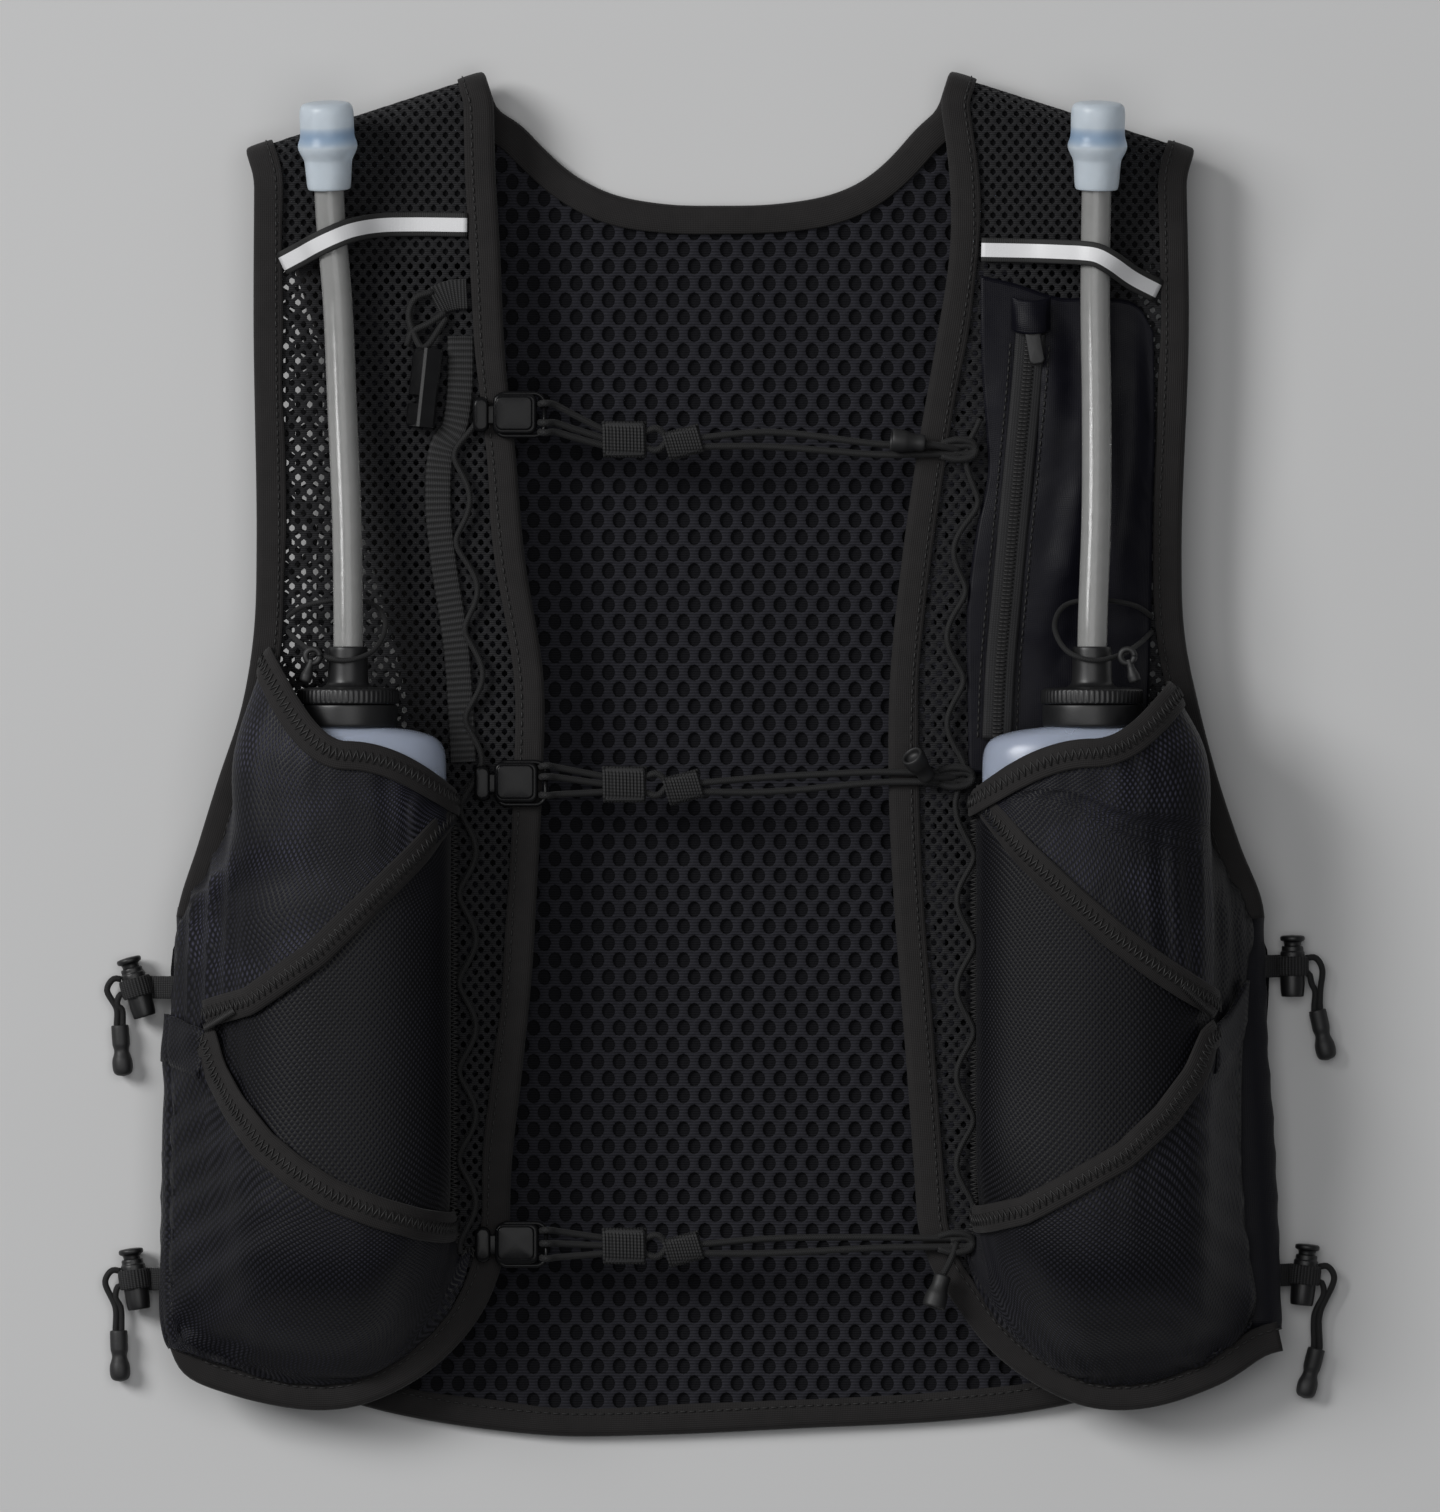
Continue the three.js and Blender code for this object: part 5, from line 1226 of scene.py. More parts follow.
def folded_profile(wall):
    slot = wall / 2 + 0.1
    face = wall / 2 + GAP + BINDING_WALL
    tail = 1.1 - BINDING_WIDTH
    top = [(tail, slot), (tail - 0.1, face - 0.25), (tail + 0.5, face), (tail + 4, face + 0.12), (-1.2, face),
           (0.3, face - 0.3), (0.9, face * 0.55), (1.15, 0)]
    bottom = [(o, -u) for o, u in top[-2::-1]]
    return np.array([*top, *bottom, (0.15, -slot), (0.15, slot)])


def smoothed(rows, width):
    kernel = np.ones(width) / width
    wide = np.pad(rows, ((width // 2, width // 2), (0, 0)), mode="edge")
    return np.stack([np.convolve(wide[:, k], kernel, "valid") for k in range(rows.shape[1])], 1)


STITCH = dict(length=2.0, width=0.55, height=0.45)
STITCH_PITCH = 3.0


def bar(length, width, height):
    """A thread that dips into the cloth at both ends."""
    rising = [(-0.5, 0, -0.5), (-0.42, 0, 0.1), (-0.2, 0, 0.42)]
    path = np.array(rising + [(-x, y, z) for x, y, z in rising[::-1]])
    return tube(path * (length, 1, height), width / 2, 6)


def stitch_row(name, path, up, pitch, solid):
    spots, facing = spaced(path, pitch, up)
    return repeat(name, spots, runs_of(spots), unit(facing), solid, THREAD)


def bound_edge(name, path, up, draw, flip=1, nodes=()):
    """A binding along a path, with the cloth's normals, and its stitches on the upper face."""
    run = runs_of(path)
    up = unit(up)
    out = unit(np.cross(run, up)) * flip
    profile = folded_profile(BACK_WALL)
    count = len(path)
    width = 1 + 0.05 * noise_along(count, 9, len(name))
    swell = 1 + 0.10 * noise_along(count, 6, len(name) + 5)
    shape = np.repeat(profile[None], count, 0)
    shape[:, :, 0] = np.where(shape[:, :, 0] < 0, shape[:, :, 0] * width[:, None], shape[:, :, 0])
    shape[:, :, 1] *= draw[:, None] * swell[:, None]
    piece(name, sweep(path, out, up, shape), BINDING, nodes)
    lift = (BACK_WALL / 2 + GAP + BINDING_WALL + 0.1) * draw * swell
    seam = path - out * 6.3 + up * lift[:, None]
    stitch_row(f"{name}_stitches", seam, up, STITCH_PITCH, bar(**STITCH))


def front_rim(side, edge):
    """Points and normals of a front's hem and opening edge, or of its armhole, to the end of the tail."""
    grid = FRONTS[side]
    normal = normals_of(grid)
    first, last = 0, grid.shape[1] - 1
    inner, outer = (last, first) if side == "left" else (first, last)
    order = slice(None) if side == "left" else slice(None, None, -1)
    if edge == "inner":
        path = np.vstack([grid[0, order], grid[1:, inner]])
        up = np.vstack([normal[0, order], normal[1:, inner]])
    else:
        keep = np.arange(len(grid)) >= np.argmax(grid[:, outer, 1] > ARMHOLE_LOW["front"])
        path, up = grid[keep, outer], normal[keep, outer]
    flat = path[:, 2] > SHOULDER_Z - 0.8
    flat[-12:] = False
    up[flat] = smoothed(up, 15)[flat]
    return path, up


def opening_binding():
    halves = []
    for side in SIDES:
        path, up = front_rim(side, "inner")
        halves.append((path, up, np.full(len(path), FRONT_DRAW)))
    for path, _, draw in halves:
        draw[-3:] = np.linspace(FRONT_DRAW, 1, 3)
    (left, left_up, left_draw), right_half = halves
    hem_end = right_half[0][:, 0] > EDGE_END["from_x"]
    right, right_up, right_draw = (rows[hem_end.sum() - 2:] for rows in right_half)
    right[:2, :2] = EDGE_END["points"]
    neck = NECK_LINE[
        (np.linalg.norm(NECK_LINE - left[-1], axis=1) > JOIN_CLEAR)
        & (np.linalg.norm(NECK_LINE - right[-1], axis=1) > JOIN_CLEAR)]
    down = everywhere(DOWN, neck)
    path = np.vstack([left, neck, right[::-1]])
    up = np.vstack([left_up, down, right_up[::-1]])
    draw = np.concatenate([left_draw, np.ones(len(neck)), right_draw[::-1]])[:, None]
    path, up, draw = spaced(path, 2.5, up, draw)
    bound_edge("edge_binding", smoothed(path, 3), smoothed(up, 3), draw[:, 0], nodes=["edge_binding"])


def arm_binding(side):
    path, up = front_rim(side, "outer")
    behind = {"left": LEFT_LINE, "right": RIGHT_LINE}[side][::-1]
    behind = behind[(behind[:, 1] < 184) & (behind[:, 1] > ARMHOLE_LOW["back"])]
    down = everywhere(DOWN, behind)
    draw = np.concatenate([np.full(len(path), FRONT_DRAW), np.ones(len(behind))])[:, None]
    path, up, draw = spaced(np.vstack([path, behind]), 2.5, np.vstack([up, down]), draw)
    flip = 1 if side == "right" else -1
    bound_edge(f"arm_binding_{side}", smoothed(path, 3), smoothed(up, 3), draw[:, 0], flip,
               [f"arm_binding_{side}"])


def hem_binding():
    left, right = ((*end, BACK_EDGE_Z) for end in HEM_ENDS.values())
    path = smoothed(spaced(np.vstack([left, HEM_LINE, right]), 2.5), 3)
    up = everywhere(UP, path)
    bound_edge("hem_binding", path, up, np.ones(len(path)), nodes=["hem_binding"])


opening_binding()
for side_name in SIDES:
    arm_binding(side_name)
hem_binding()

# Side cloth between the fronts and the back


def side_gusset(side):
    s = SIDES[side]
    y = np.linspace(GUSSET_LINE["y"][0], GUSSET_LINE["y"][-1], 49)
    line = spline(np.column_stack([GUSSET_LINE[side], GUSSET_LINE["y"]]), 49)[:, 0]
    edge = spline(rows_of(OUTER_EDGE, side, "y", "z"), 400)
    order = np.argsort(edge[:, 1])
    front = np.interp(y, edge[order, 1], edge[order, 0]) - s * GUSSET_SEAM["front"]
    rows = []
    for k in range(len(y)):
        seams = np.where(GUSSET_SECTION["front"] > 0, front[k], s * GUSSET_SEAM["back"])
        x = seams + (line[k] - seams) * GUSSET_SECTION["share"]
        section = spline(np.column_stack([x, np.full(len(x), y[k]), GUSSET_SECTION["z"]]), 21)
        fold = 0.5 * math.sin(y[k] / 4.2) * np.sin(np.linspace(0, np.pi, 21))
        section[:, 0] -= s * np.abs(fold)
        rows.append(section)
    grid = np.array(rows)
    node = f"side_gusset_{side}"
    cloth = piece(node, shell(grid, GUSSET_WALL), GUSSET, [node])
    declare(grid)


for side_name in SIDES:
    side_gusset(side_name)

# Pockets: stretch cloth pulled tight over the flasks, with gathers below the tapes

FOOT_LIFT = GAP + POCKET_WALL / 2 + 0.2
LAYER_LIFT = POCKET_WALL + 0.65
DEEPEST_FOLD = 0.5
LAYER_AT_SEAM = POCKET_WALL + 0.15
SIDE_SLACK = 0.9
TAPE_LIFT = LAYER_LIFT + POCKET_WALL / 2 + 0.45 + TAPE_WALL / 2
TAPE_AT_SEAM = LAYER_AT_SEAM + POCKET_WALL / 2 + 0.1 + TAPE_WALL / 2
TAPE_OVERHANG = 2.2
TAPE_DROOP = 1.1
TAPE_WIDTHS = {"mouth": 9.5, "upper": 9.3, "lower": {"left": 10.4, "right": 9.2}}
HANG_INSET = 1.9
HANG_LOW = 15.5
BEND_LENGTH = 22
COLUMNS, ROWS = 71, 141
UPPER_REACH = {"left": 190, "right": 161}
UPPER_ROWS, LOWER_ROWS = 91, 121
OUTER_SEAM = 181
PLEATS = {"left": dict(pitch=6.2, depth=1.2), "right": dict(pitch=9, depth=0.8)}
UNDER_PLEATS = dict(far=178, pitch=5.4, depth=0.8)
GATHERS = {
    "upper_top": dict(count=13, depth=0.6, reach=24, seed=3),
    "upper_low": dict(count=9, depth=0.35, reach=14, seed=11),
    "lower_top": dict(count=12, depth=0.4, reach=22, seed=23),
    "lower_low": dict(count=15, depth=0.4, reach=12, seed=31),
}
DRAPE_DEPTH = 0.55
CREASE_DEPTH = 0.3
LOWER_HEM_WALL = 0.7
OVERLOCK_SPAN = (-164, -18)
ZIGZAG = {
    "tape": dict(pitch=2.4, width=3.6),
    "tack": dict(pitch=0.8, width=2.4),
    "overlock": dict(pitch=1.5, width=3.2),
}


def taut_over(form, left, right):
    """The line that a taut cloth takes over a form from one foot to the other."""
    chain = []
    for p in [left, *form, right]:
        while len(chain) > 1:
            (ax, ay), (bx, by) = chain[-2], chain[-1]
            if (bx - ax) * (p[1] - ay) - (by - ay) * (p[0] - ax) < 0:
                break
            chain.pop()
        chain.append(p)
    return np.array(chain)


def evenly_bent(points, count):
    """Points at even steps of length and of bend, so that tight bends get more of them."""
    steps = np.diff(points, axis=0)
    heading = np.unwrap(np.arctan2(steps[:, 1], steps[:, 0]))
    bend = np.concatenate([[0], np.abs(np.diff(heading))])
    at = np.concatenate([[0], np.cumsum(np.linalg.norm(steps, axis=1) + BEND_LENGTH * bend)])
    even = np.linspace(0, at[-1], count)
    return carried(points, at, even)


def hang(side, y, foot):
    """Distances and heights of the cloth from its outer foot down over the side of the vest."""
    far = np.interp(y, SIDE_HANG["y"], SIDE_HANG["out"]) - HANG_INSET
    if side == "right" or y > SIDE_HANG["y"][-1]:
        return np.empty((0, 2))
    return np.array([((foot[0] + far) / 2 + 0.4, foot[1] - 0.5), (far, foot[1] - 3.2), (far + 0.2, HANG_LOW)])


def pocket_section(row, side):
    s = SIDES[side]
    centre = s * FLASK["x"]
    fit = POCKET_FIT[side]
    inner, outer = (s * (row["in_x"] + fit["shift"]), row["in_y"]), (s * row[side], row["out_y"])
    foot = lambda x, y: (x, FRONT_TOP[side].at(x, y)[0] + FOOT_LIFT)
    floor = foot(centre, max(row["crown_y"], row["in_y"]))[1]
    middle = min(FLASK["z"], floor + row["half_depth"])
    angle = np.pi * (1.25 - 1.5 * np.linspace(0, 1, 81))
    half = np.where(s * np.cos(angle) > 0, row["half_out"], row["half_in"] * fit["half_in"])
    form = np.column_stack([centre + half * np.cos(angle), middle + row["half_depth"] * np.sin(angle)])
    left, right = (outer, inner) if side == "left" else (inner, outer)
    chain = taut_over(form.tolist(), foot(*left), foot(*right))
    over_side = hang(side, outer[1], (abs(outer[0]), foot(*outer)[1])) * (s, 1)
    arch = evenly_bent(np.vstack([over_side[::-1], chain]), COLUMNS)
    end = np.where(arch[:, 0] < centre, left[0], right[0])
    end_y = np.where(arch[:, 0] < centre, left[1], right[1])
    share = np.clip((arch[:, 0] - centre) / (end - centre), 0, 1)
    return np.column_stack([arch[:, 0], row["crown_y"] + (end_y - row["crown_y"]) * share**2, arch[:, 1]])


def pocket_hem(side):
    """The lowest line of a pocket, beside the binding of the hem and over its outer end."""
    s = SIDES[side]
    line = spline(rows_of(POCKET_HEM[side], "x", "y") * (s, 1), 80)
    over_binding = 1.3 * ease(-line[:, 0], 150, 168)
    points = FRONT_TOP[side].seat(line, FOOT_LIFT + over_binding)
    low = points[-1]
    over_side = hang(side, low[1], (abs(low[0]), low[2]))
    points = np.vstack([points, *([s * x, low[1] + 0.6 * k, z] for k, (x, z) in enumerate(over_side, 1))])
    along = lengths_along(points[:, :2])
    bent = evenly_bent(np.column_stack([along, points[:, 2]]), COLUMNS)
    row = np.column_stack([carried(points[:, :2], along, bent[:, 0]), bent[:, 1]])
    return row[::-1] if side == "left" else row


def pocket_grid(side):
    count = len(POCKET_SECTIONS["in_y"])
    rows = [{name: values[k] for name, values in POCKET_SECTIONS.items()} for k in range(count)]
    rows[-1].update(POCKET_MOUTH[side])
    sections = np.array([pocket_hem(side), *(pocket_section(row, side) for row in rows)])
    return np.stack([spline(sections[:, c], ROWS) for c in range(COLUMNS)], 1)


def climb(grid, heights):
    """Points of a grid at a share of the way up each column."""
    spot = np.clip(heights, 0, 1) * (len(grid) - 1)
    r = np.minimum(spot.astype(int), len(grid) - 2)
    c = np.arange(grid.shape[1])[None]
    w = (spot - r)[..., None]
    return grid[r, c] * (1 - w) + grid[r + 1, c] * w


def meets(grid, line):
    """How far up each column meets a line across the vest."""
    over = grid[:, :, 1] - np.interp(np.abs(grid[:, :, 0]), line["x"], line["y"])
    heights = []
    for column in over.T:
        r = max(1, np.argmax(column > 0))
        heights.append((r - 1 + column[r - 1] / (column[r - 1] - column[r])) / (len(grid) - 1))
    return np.array(heights)


def loosened(grid, side, lift, at_seam):
    """A pocket's grid lifted off it, less at its seams, with slack beside the outer one."""
    across = np.linspace(0, 1, grid.shape[1])
    from_seam = across if side == "left" else 1 - across
    up = np.linspace(0, 1, len(grid))[:, None]
    slack = SIDE_SLACK * np.sin(np.pi * np.clip((from_seam - 0.06) / 0.26, 0, 1))
    full = ease(from_seam, 0.04, 0.16) * (1 - ease(from_seam, 0.94, 1)) * ease(up, 0.02, 0.16)
    return grid + normals_of(grid) * (at_seam + (lift - at_seam + slack) * full)[..., None]


def stopped(rows, far):
    """A grid's rows again, each stopped where it gets this far from the middle of the vest."""
    kept = []
    for row in rows:
        along = lengths_along(row)
        past = np.abs(row[:, 0]) > far
        end = along[np.argmax(past)] if past.any() else along[-1]
        at = np.linspace(0, end, len(row))
        kept.append(carried(row, along, at))
    return np.array(kept)


def gathers(grid, from_edge, count, depth, reach, seed):
    """Soft folds that fade with distance from a gathered edge."""
    across = np.linspace(0, 1, grid.shape[1])
    drift = noise_along(grid.shape[1], 6, seed) * 1.6
    strength = 0.55 + 0.45 * noise_along(grid.shape[1], 5, seed + 1)
    wave = np.sin(2 * np.pi * count * across + drift) * strength
    return depth * wave[None] * np.exp(-from_edge / reach)


def pleats(grid, far, pitch, depth):
    """Long folds up the vest, beside the outer seam."""
    out = far - np.abs(grid[:, :, 0])
    y = grid[:, :, 1]
    wave = np.sin(2 * np.pi * out / pitch + 0.9 * np.sin(y / 17)) ** 3
    return depth * wave * ease(out, 0.5, 4) * (1 - ease(out, 16, 26)) * ease(-y, 12, 40)


def drapes(grid, depth):
    """Slanting folds where the cloth is drawn towards the side."""
    out, y = np.abs(grid[:, :, 0]), grid[:, :, 1]
    wave = np.sin((0.62 * out + y) / 2.4 + 1.3 * np.sin(y / 21))
    return depth * wave * ease(out, 138, 166) * (1 - ease(out, 179, 183)) * ease(-y, 84, 96)


def spread_out(rows):
    """Distances up the columns of a grid from its first row."""
    steps = np.linalg.norm(np.diff(rows, axis=0), axis=2)
    return np.concatenate([np.zeros((1, rows.shape[1])), np.cumsum(steps, 0)])


def zigzag(pitch, width):
    """One step of a zigzag: up and down again."""
    path = np.array([(-0.5, -0.5, 0), (-0.25, 0, 0.12), (0, 0.5, 0), (0.25, 0, 0.12), (0.5, -0.5, 0)])
    return tube(path * (pitch, width, 1), 0.32, 5)


def zigzag_row(name, seam, up, pitch, width):
    stitch_row(name, seam, up, pitch, zigzag(pitch, width))


def edge_tape(name, lifted, heights, inward, width, reach=1000, tucked=0, nodes=()):
    """A flat elastic tape along a free edge, with a zigzag of thread down its middle."""
    path = climb(lifted, heights[None])[0]
    row = np.round(heights * (len(lifted) - 1)).astype(int)
    up = smoothed(normals_of(lifted)[row, np.arange(len(path))], 7)
    path = path - up * (tucked * (1 - ease(np.abs(path[:, 0]), 86, 102)))[:, None]
    kept = np.abs(path[:, 0]) < reach
    path, up = path[kept], up[kept]
    out = unit(np.cross(up, runs_of(path))) * inward
    middle = path + out * (width / 2 - TAPE_OVERHANG)
    middle, out = spaced(middle, 1.6, out)
    up = unit(np.cross(runs_of(middle), unit(out)))
    up *= np.sign(up[:, 2].sum())
    section = round_section(width, TAPE_WALL, 3.2, 20)
    shape = np.repeat(section[None], len(middle), 0)
    shape[:, :, 1] += 0.12 * noise_along(len(middle), 3, len(name))[:, None] * (section[:, 1] > 0)
    shape[:, :, 1] -= TAPE_DROOP * np.maximum(-2 * section[:, 0] / width, 0) ** 2
    tape = piece(name, sweep(middle, unit(out), up, shape), BINDING, nodes)
    seam = middle + up * (TAPE_WALL / 2 + 0.12)
    zigzag_row(f"{name}_zigzag", seam, up, **ZIGZAG["tape"])
    return tape


POCKETS = {side: pocket_grid(side) for side in SIDES}
# the flask layer wears the painted-shade copy of the knit, the upper layer the painted-light copy
POCKET_FINISHES = {"flask": PAINTED_SHADE_UNDER_LAYERS, "upper": PAINTED_LIGHT_OVER_FLASK, "lower": STRETCH}


def flask_pocket(side):
    s = SIDES[side]
    corner = TAPE_CORNERS[side]
    grid = POCKETS[side]
    keep = slice(1, None) if side == "left" else slice(None, -1)
    edges = (UPPER_LAYER_EDGE[side], LOWER_LAYER_EDGE[side])
    upper_edge, lower_edge = (meets(grid, line)[keep] for line in edges)
    steps = lambda low, high, count: low + (high - low) * np.linspace(0, 1, count)[:, None]
    top = np.ones_like(upper_edge)
    loose = loosened(grid, side, LAYER_LIFT, LAYER_AT_SEAM)[:, keep]
    taped = loosened(grid, side, TAPE_LIFT, TAPE_AT_SEAM)[:, keep]
    upper = stopped(climb(loose, steps(upper_edge, top, UPPER_ROWS)), UPPER_REACH[side])
    lower = climb(loose, steps(0 * top, lower_edge, LOWER_ROWS))

    def folded(layer, *waves):
        return layer + normals_of(layer) * np.maximum(sum(waves), -DEEPEST_FOLD)[..., None]

    up = spread_out(upper)
    far = min(OUTER_SEAM, UPPER_REACH[side])
    upper = folded(
        upper, gathers(upper, up[-1] - up, **GATHERS["upper_top"]),
        gathers(upper, up, **GATHERS["upper_low"]), pleats(upper, far, **PLEATS[side]))
    down = spread_out(lower)
    from_top = down[-1] - down
    past_corner = ease(np.abs(lower[:, :, 0]), corner - 4, corner)
    over_upper = 1.5 * (1 - ease(from_top, 14, 26)) * past_corner
    lower = folded(
        lower, gathers(lower, from_top, **GATHERS["lower_top"]),
        gathers(lower, down, **GATHERS["lower_low"]), drapes(lower, DRAPE_DEPTH), over_upper)
    creases = CREASE_DEPTH * noise_along(COLUMNS, 5, 41)[None, :] * np.ones((ROWS, 1))
    seen = folded(grid, creases, pleats(grid, **UNDER_PLEATS))

    for name, layer in (("flask", seen), ("upper", upper), ("lower", lower)):
        node = f"{name}_pocket_{side}"
        piece(node, shell(layer, POCKET_WALL), POCKET_FINISHES[name], [node])
    widths = TAPE_WIDTHS
    mouth = edge_tape(f"mouth_tape_{side}", taped, top, -1, widths["mouth"], nodes=[f"mouth_tape_{side}"])
    crossed = [
        edge_tape(f"cross_tape_upper_{side}", taped, upper_edge, 1, widths["upper"], corner, 1.8,
                  [f"cross_tape_{side}"]),
        edge_tape(f"cross_tape_lower_{side}", taped, lower_edge, -1, widths["lower"][side], corner),
    ]
    tack = np.linspace(*np.array(BAR_TACKS[side]["line"]), 30) * (s, 1)
    tack = Cloth(taped).seat(tack, TAPE_WALL / 2 + BAR_TACKS[side]["rise"])
    facing = everywhere(unit(np.array([s * 0.5, 0, 1.0])), tack)
    zigzag_row(f"bar_tack_{side}", tack, facing, **ZIGZAG["tack"])
    hem = lower[:, np.abs(lower[-1, :, 0]) > corner - 2]
    hem = (hem + normals_of(hem) * (POCKET_WALL / 2 + 0.2))[-7:]
    piece(f"lower_hem_{side}", shell(hem, LOWER_HEM_WALL), STRETCH)
    foot = seen[:, -1 if side == "left" else 0]
    low, high = OVERLOCK_SPAN
    foot = foot[(foot[:, 1] < high) & (foot[:, 1] > low)] + (-s * 1.5, 0, 0.9)
    zigzag_row(f"overlock_{side}", foot, everywhere(UP, foot), **ZIGZAG["overlock"])
    declare(seen)
    declare(upper)
    declare(lower)


for side_name in SIDES:
    flask_pocket(side_name)

# Flasks with their caps, straws and bite valves

FLASK_WALL = 1.2
CAP_RIDGES = 60


def flask_ring(y, half_width, half_depth, centre, sides=48):
    x, z = round_section(2 * half_width, 2 * half_depth, FLASK["roundness"], sides).T
    return np.column_stack([centre + x, np.full(sides, y), FLASK["z"] + z])


def flask_body(side):
    centre = SIDES[side] * FLASK["x"]
    rows = np.column_stack([FLASK_SECTIONS[n] for n in ("y", "half_width", "half_depth")])
    fine = rounded(rows * (1, POCKET_FIT[side]["flask"], 1))
    fine[:, 1] = np.maximum(fine[:, 1], np.minimum(fine[:, 2], 12.3))
    outer = [flask_ring(*row, centre) for row in fine]
    inner = [flask_ring(y, w - FLASK_WALL, d - FLASK_WALL, centre) for y, w, d in fine[::-1]]
    inner[-1][:, 1] += FLASK_WALL
    return loft([*outer, *inner])


CAP_RING = [(12.6, 16.9), (16.4, 17.0), (16.9, 17.6), (16.9, 21.2), (16.4, 21.9), (15.2, 22.3), (8.4, 22.7)]
CAP_COLLAR = [(14.1, 9.5), (15.8, 9.5), (16.2, 10.2), (16.4, 16.2), (16.1, 16.9), (12, 17.0)]
CAP_STEM = [(8.6, 22.6), (7.2, 23.4), (6.6, 24.6), (6.5, 35.2), (6.3, 35.9), (5.5, 36), (5.45, 29)]


def cap(side):
    """A collar, a ridged ring and the stem that holds the straw."""
    origin = (SIDES[side] * FLASK["x"], 0, FLASK["z"])
    axis = (0, 1, 0)
    collar = turned(rounded(CAP_COLLAR), origin, axis, 64)
    stem = turned(rounded(CAP_STEM), origin, axis, 40)
    points, faces, uvs = turned(rounded(CAP_RING), origin, axis, 4 * CAP_RIDGES)
    middle = np.array(origin)
    spoke = points - middle
    spoke[:, 1] = 0
    angle = np.arctan2(spoke[:, 2], spoke[:, 0])
    far = np.linalg.norm(spoke, axis=1)
    band = ease(points[:, 1], 17.2, 17.8) * (1 - ease(points[:, 1], 21, 21.7)) * (far > 15)
    points = points - unit(spoke) * (0.45 * band * (np.cos(CAP_RIDGES * angle) < -0.2))[:, None]
    return joined(collar, (points, faces, uvs), stem)


VALVE_RINGS = [
    (5.3, 9.9), (5.3, 0.2), (6.6, 0), (7.1, 0.5), (7.4, 2.5), (7.8, 9.4), (8.3, 10.6), (9.4, 12.6),
    (9.9, 14.2), (9.7, 15.6), (9.0, 17.4), (8.9, 20), (9.0, 25.6), (8.6, 27.6), (7.4, 28.8), (4, 29.2)]
STRAW_SEATED = 9.6
STRAW_TUBE = {"radius": 4.9, "bore": 3.2}


def straw(side):
    route = rows_of(STRAW_ROUTE, side, "y", "z")
    path = spaced(spline(route, 200), 2)
    outer = tube(path, STRAW_TUBE["radius"], 28)
    bore = tube(path[1:-1], STRAW_TUBE["bore"], 20)
    hollow = (bore[0], [f[::-1] for f in bore[1]], bore[2])
    run = unit(route[-1] - route[-2])
    piece(f"straw_{side}", joined(outer, hollow), TUBE, [f"straw_{side}"])
    valve = turned(rounded(VALVE_RINGS), route[-1] - run * STRAW_SEATED, run, 40)
    piece(f"bite_valve_{side}", valve, SILICONE, [f"bite_valve_{side}"])


for side_name in SIDES:
    piece(f"flask_body_{side_name}", flask_body(side_name), FILM, [f"flask_body_{side_name}"])
    piece(f"flask_cap_{side_name}", cap(side_name), SATIN, [f"flask_cap_{side_name}"])
    straw(side_name)

# Chest pocket: a thin nylon pouch on the right front with a zip down it

CHEST_POCKET = {
    "left": [
        (82, -6), (81.6, 24), (81.6, 49.5), (84.8, 75), (88.4, 93), (88, 106), (86.4, 127), (86, 150),
        (86, 158.5)],
    "right": [(140, -6), (141.4, 20), (142.2, 50), (142.6, 80), (143.4, 110), (143, 140)],
    "top": [(86, 158.5), (98, 155.6), (112, 151.2), (126, 151.2), (137, 149), (143, 140)],
    "puff": 3.6, "flat": (0.2, 0.45),
}
ZIP = {"width": 10, "wall": 1.4, "tooth": 1.3, "coil": 0.55}
PULLER = {"x": 103.2, "y": 143, "width": 5, "length": 12, "thickness": 1.8}
GARAGE_WIDTH = 12.5
GARAGE_ARCH = table(
    "across up rise bulge",
    (-1 / 2, 0, -1.6, 0), (-1 / 3, -1, 0.6, 1), (0, -1.5, 2, 1), (1 / 3, -1, 0.8, 1), (1 / 2, 0, -1.6, 0),
)
GARAGE_ROWS = ((-2.5, 0.3), (0, 0.6), (3, 0.3), (6, -0.4), (8.5, -1.2))
CHEST_ROWS, CHEST_COLUMNS = 97, 49
TAPE_SEAT = GAP + TAPE_WALL / 2 + 0.1


def flat_tape(name, path, width, thickness, finish, nodes=(), rib=None):
    """A tape that lies level across its run, ribbed across it if a pitch of ribs is given."""
    path = spaced(path, rib / 4 if rib else 1.5)
    out, up = level_frame(path)
    section = round_section(width, thickness, 3.2, 20)
    shape = np.repeat(section[None], len(path), 0)
    if rib:
        ridge = 0.24 * np.cos(lengths_along(path) * 2 * np.pi / rib)
        shape[:, :, 1] *= 1 + ridge[:, None]
        shape[:, :, 0] *= 1 + 0.05 * ridge[:, None]
    return piece(name, sweep(path, out, up, shape), finish, nodes)



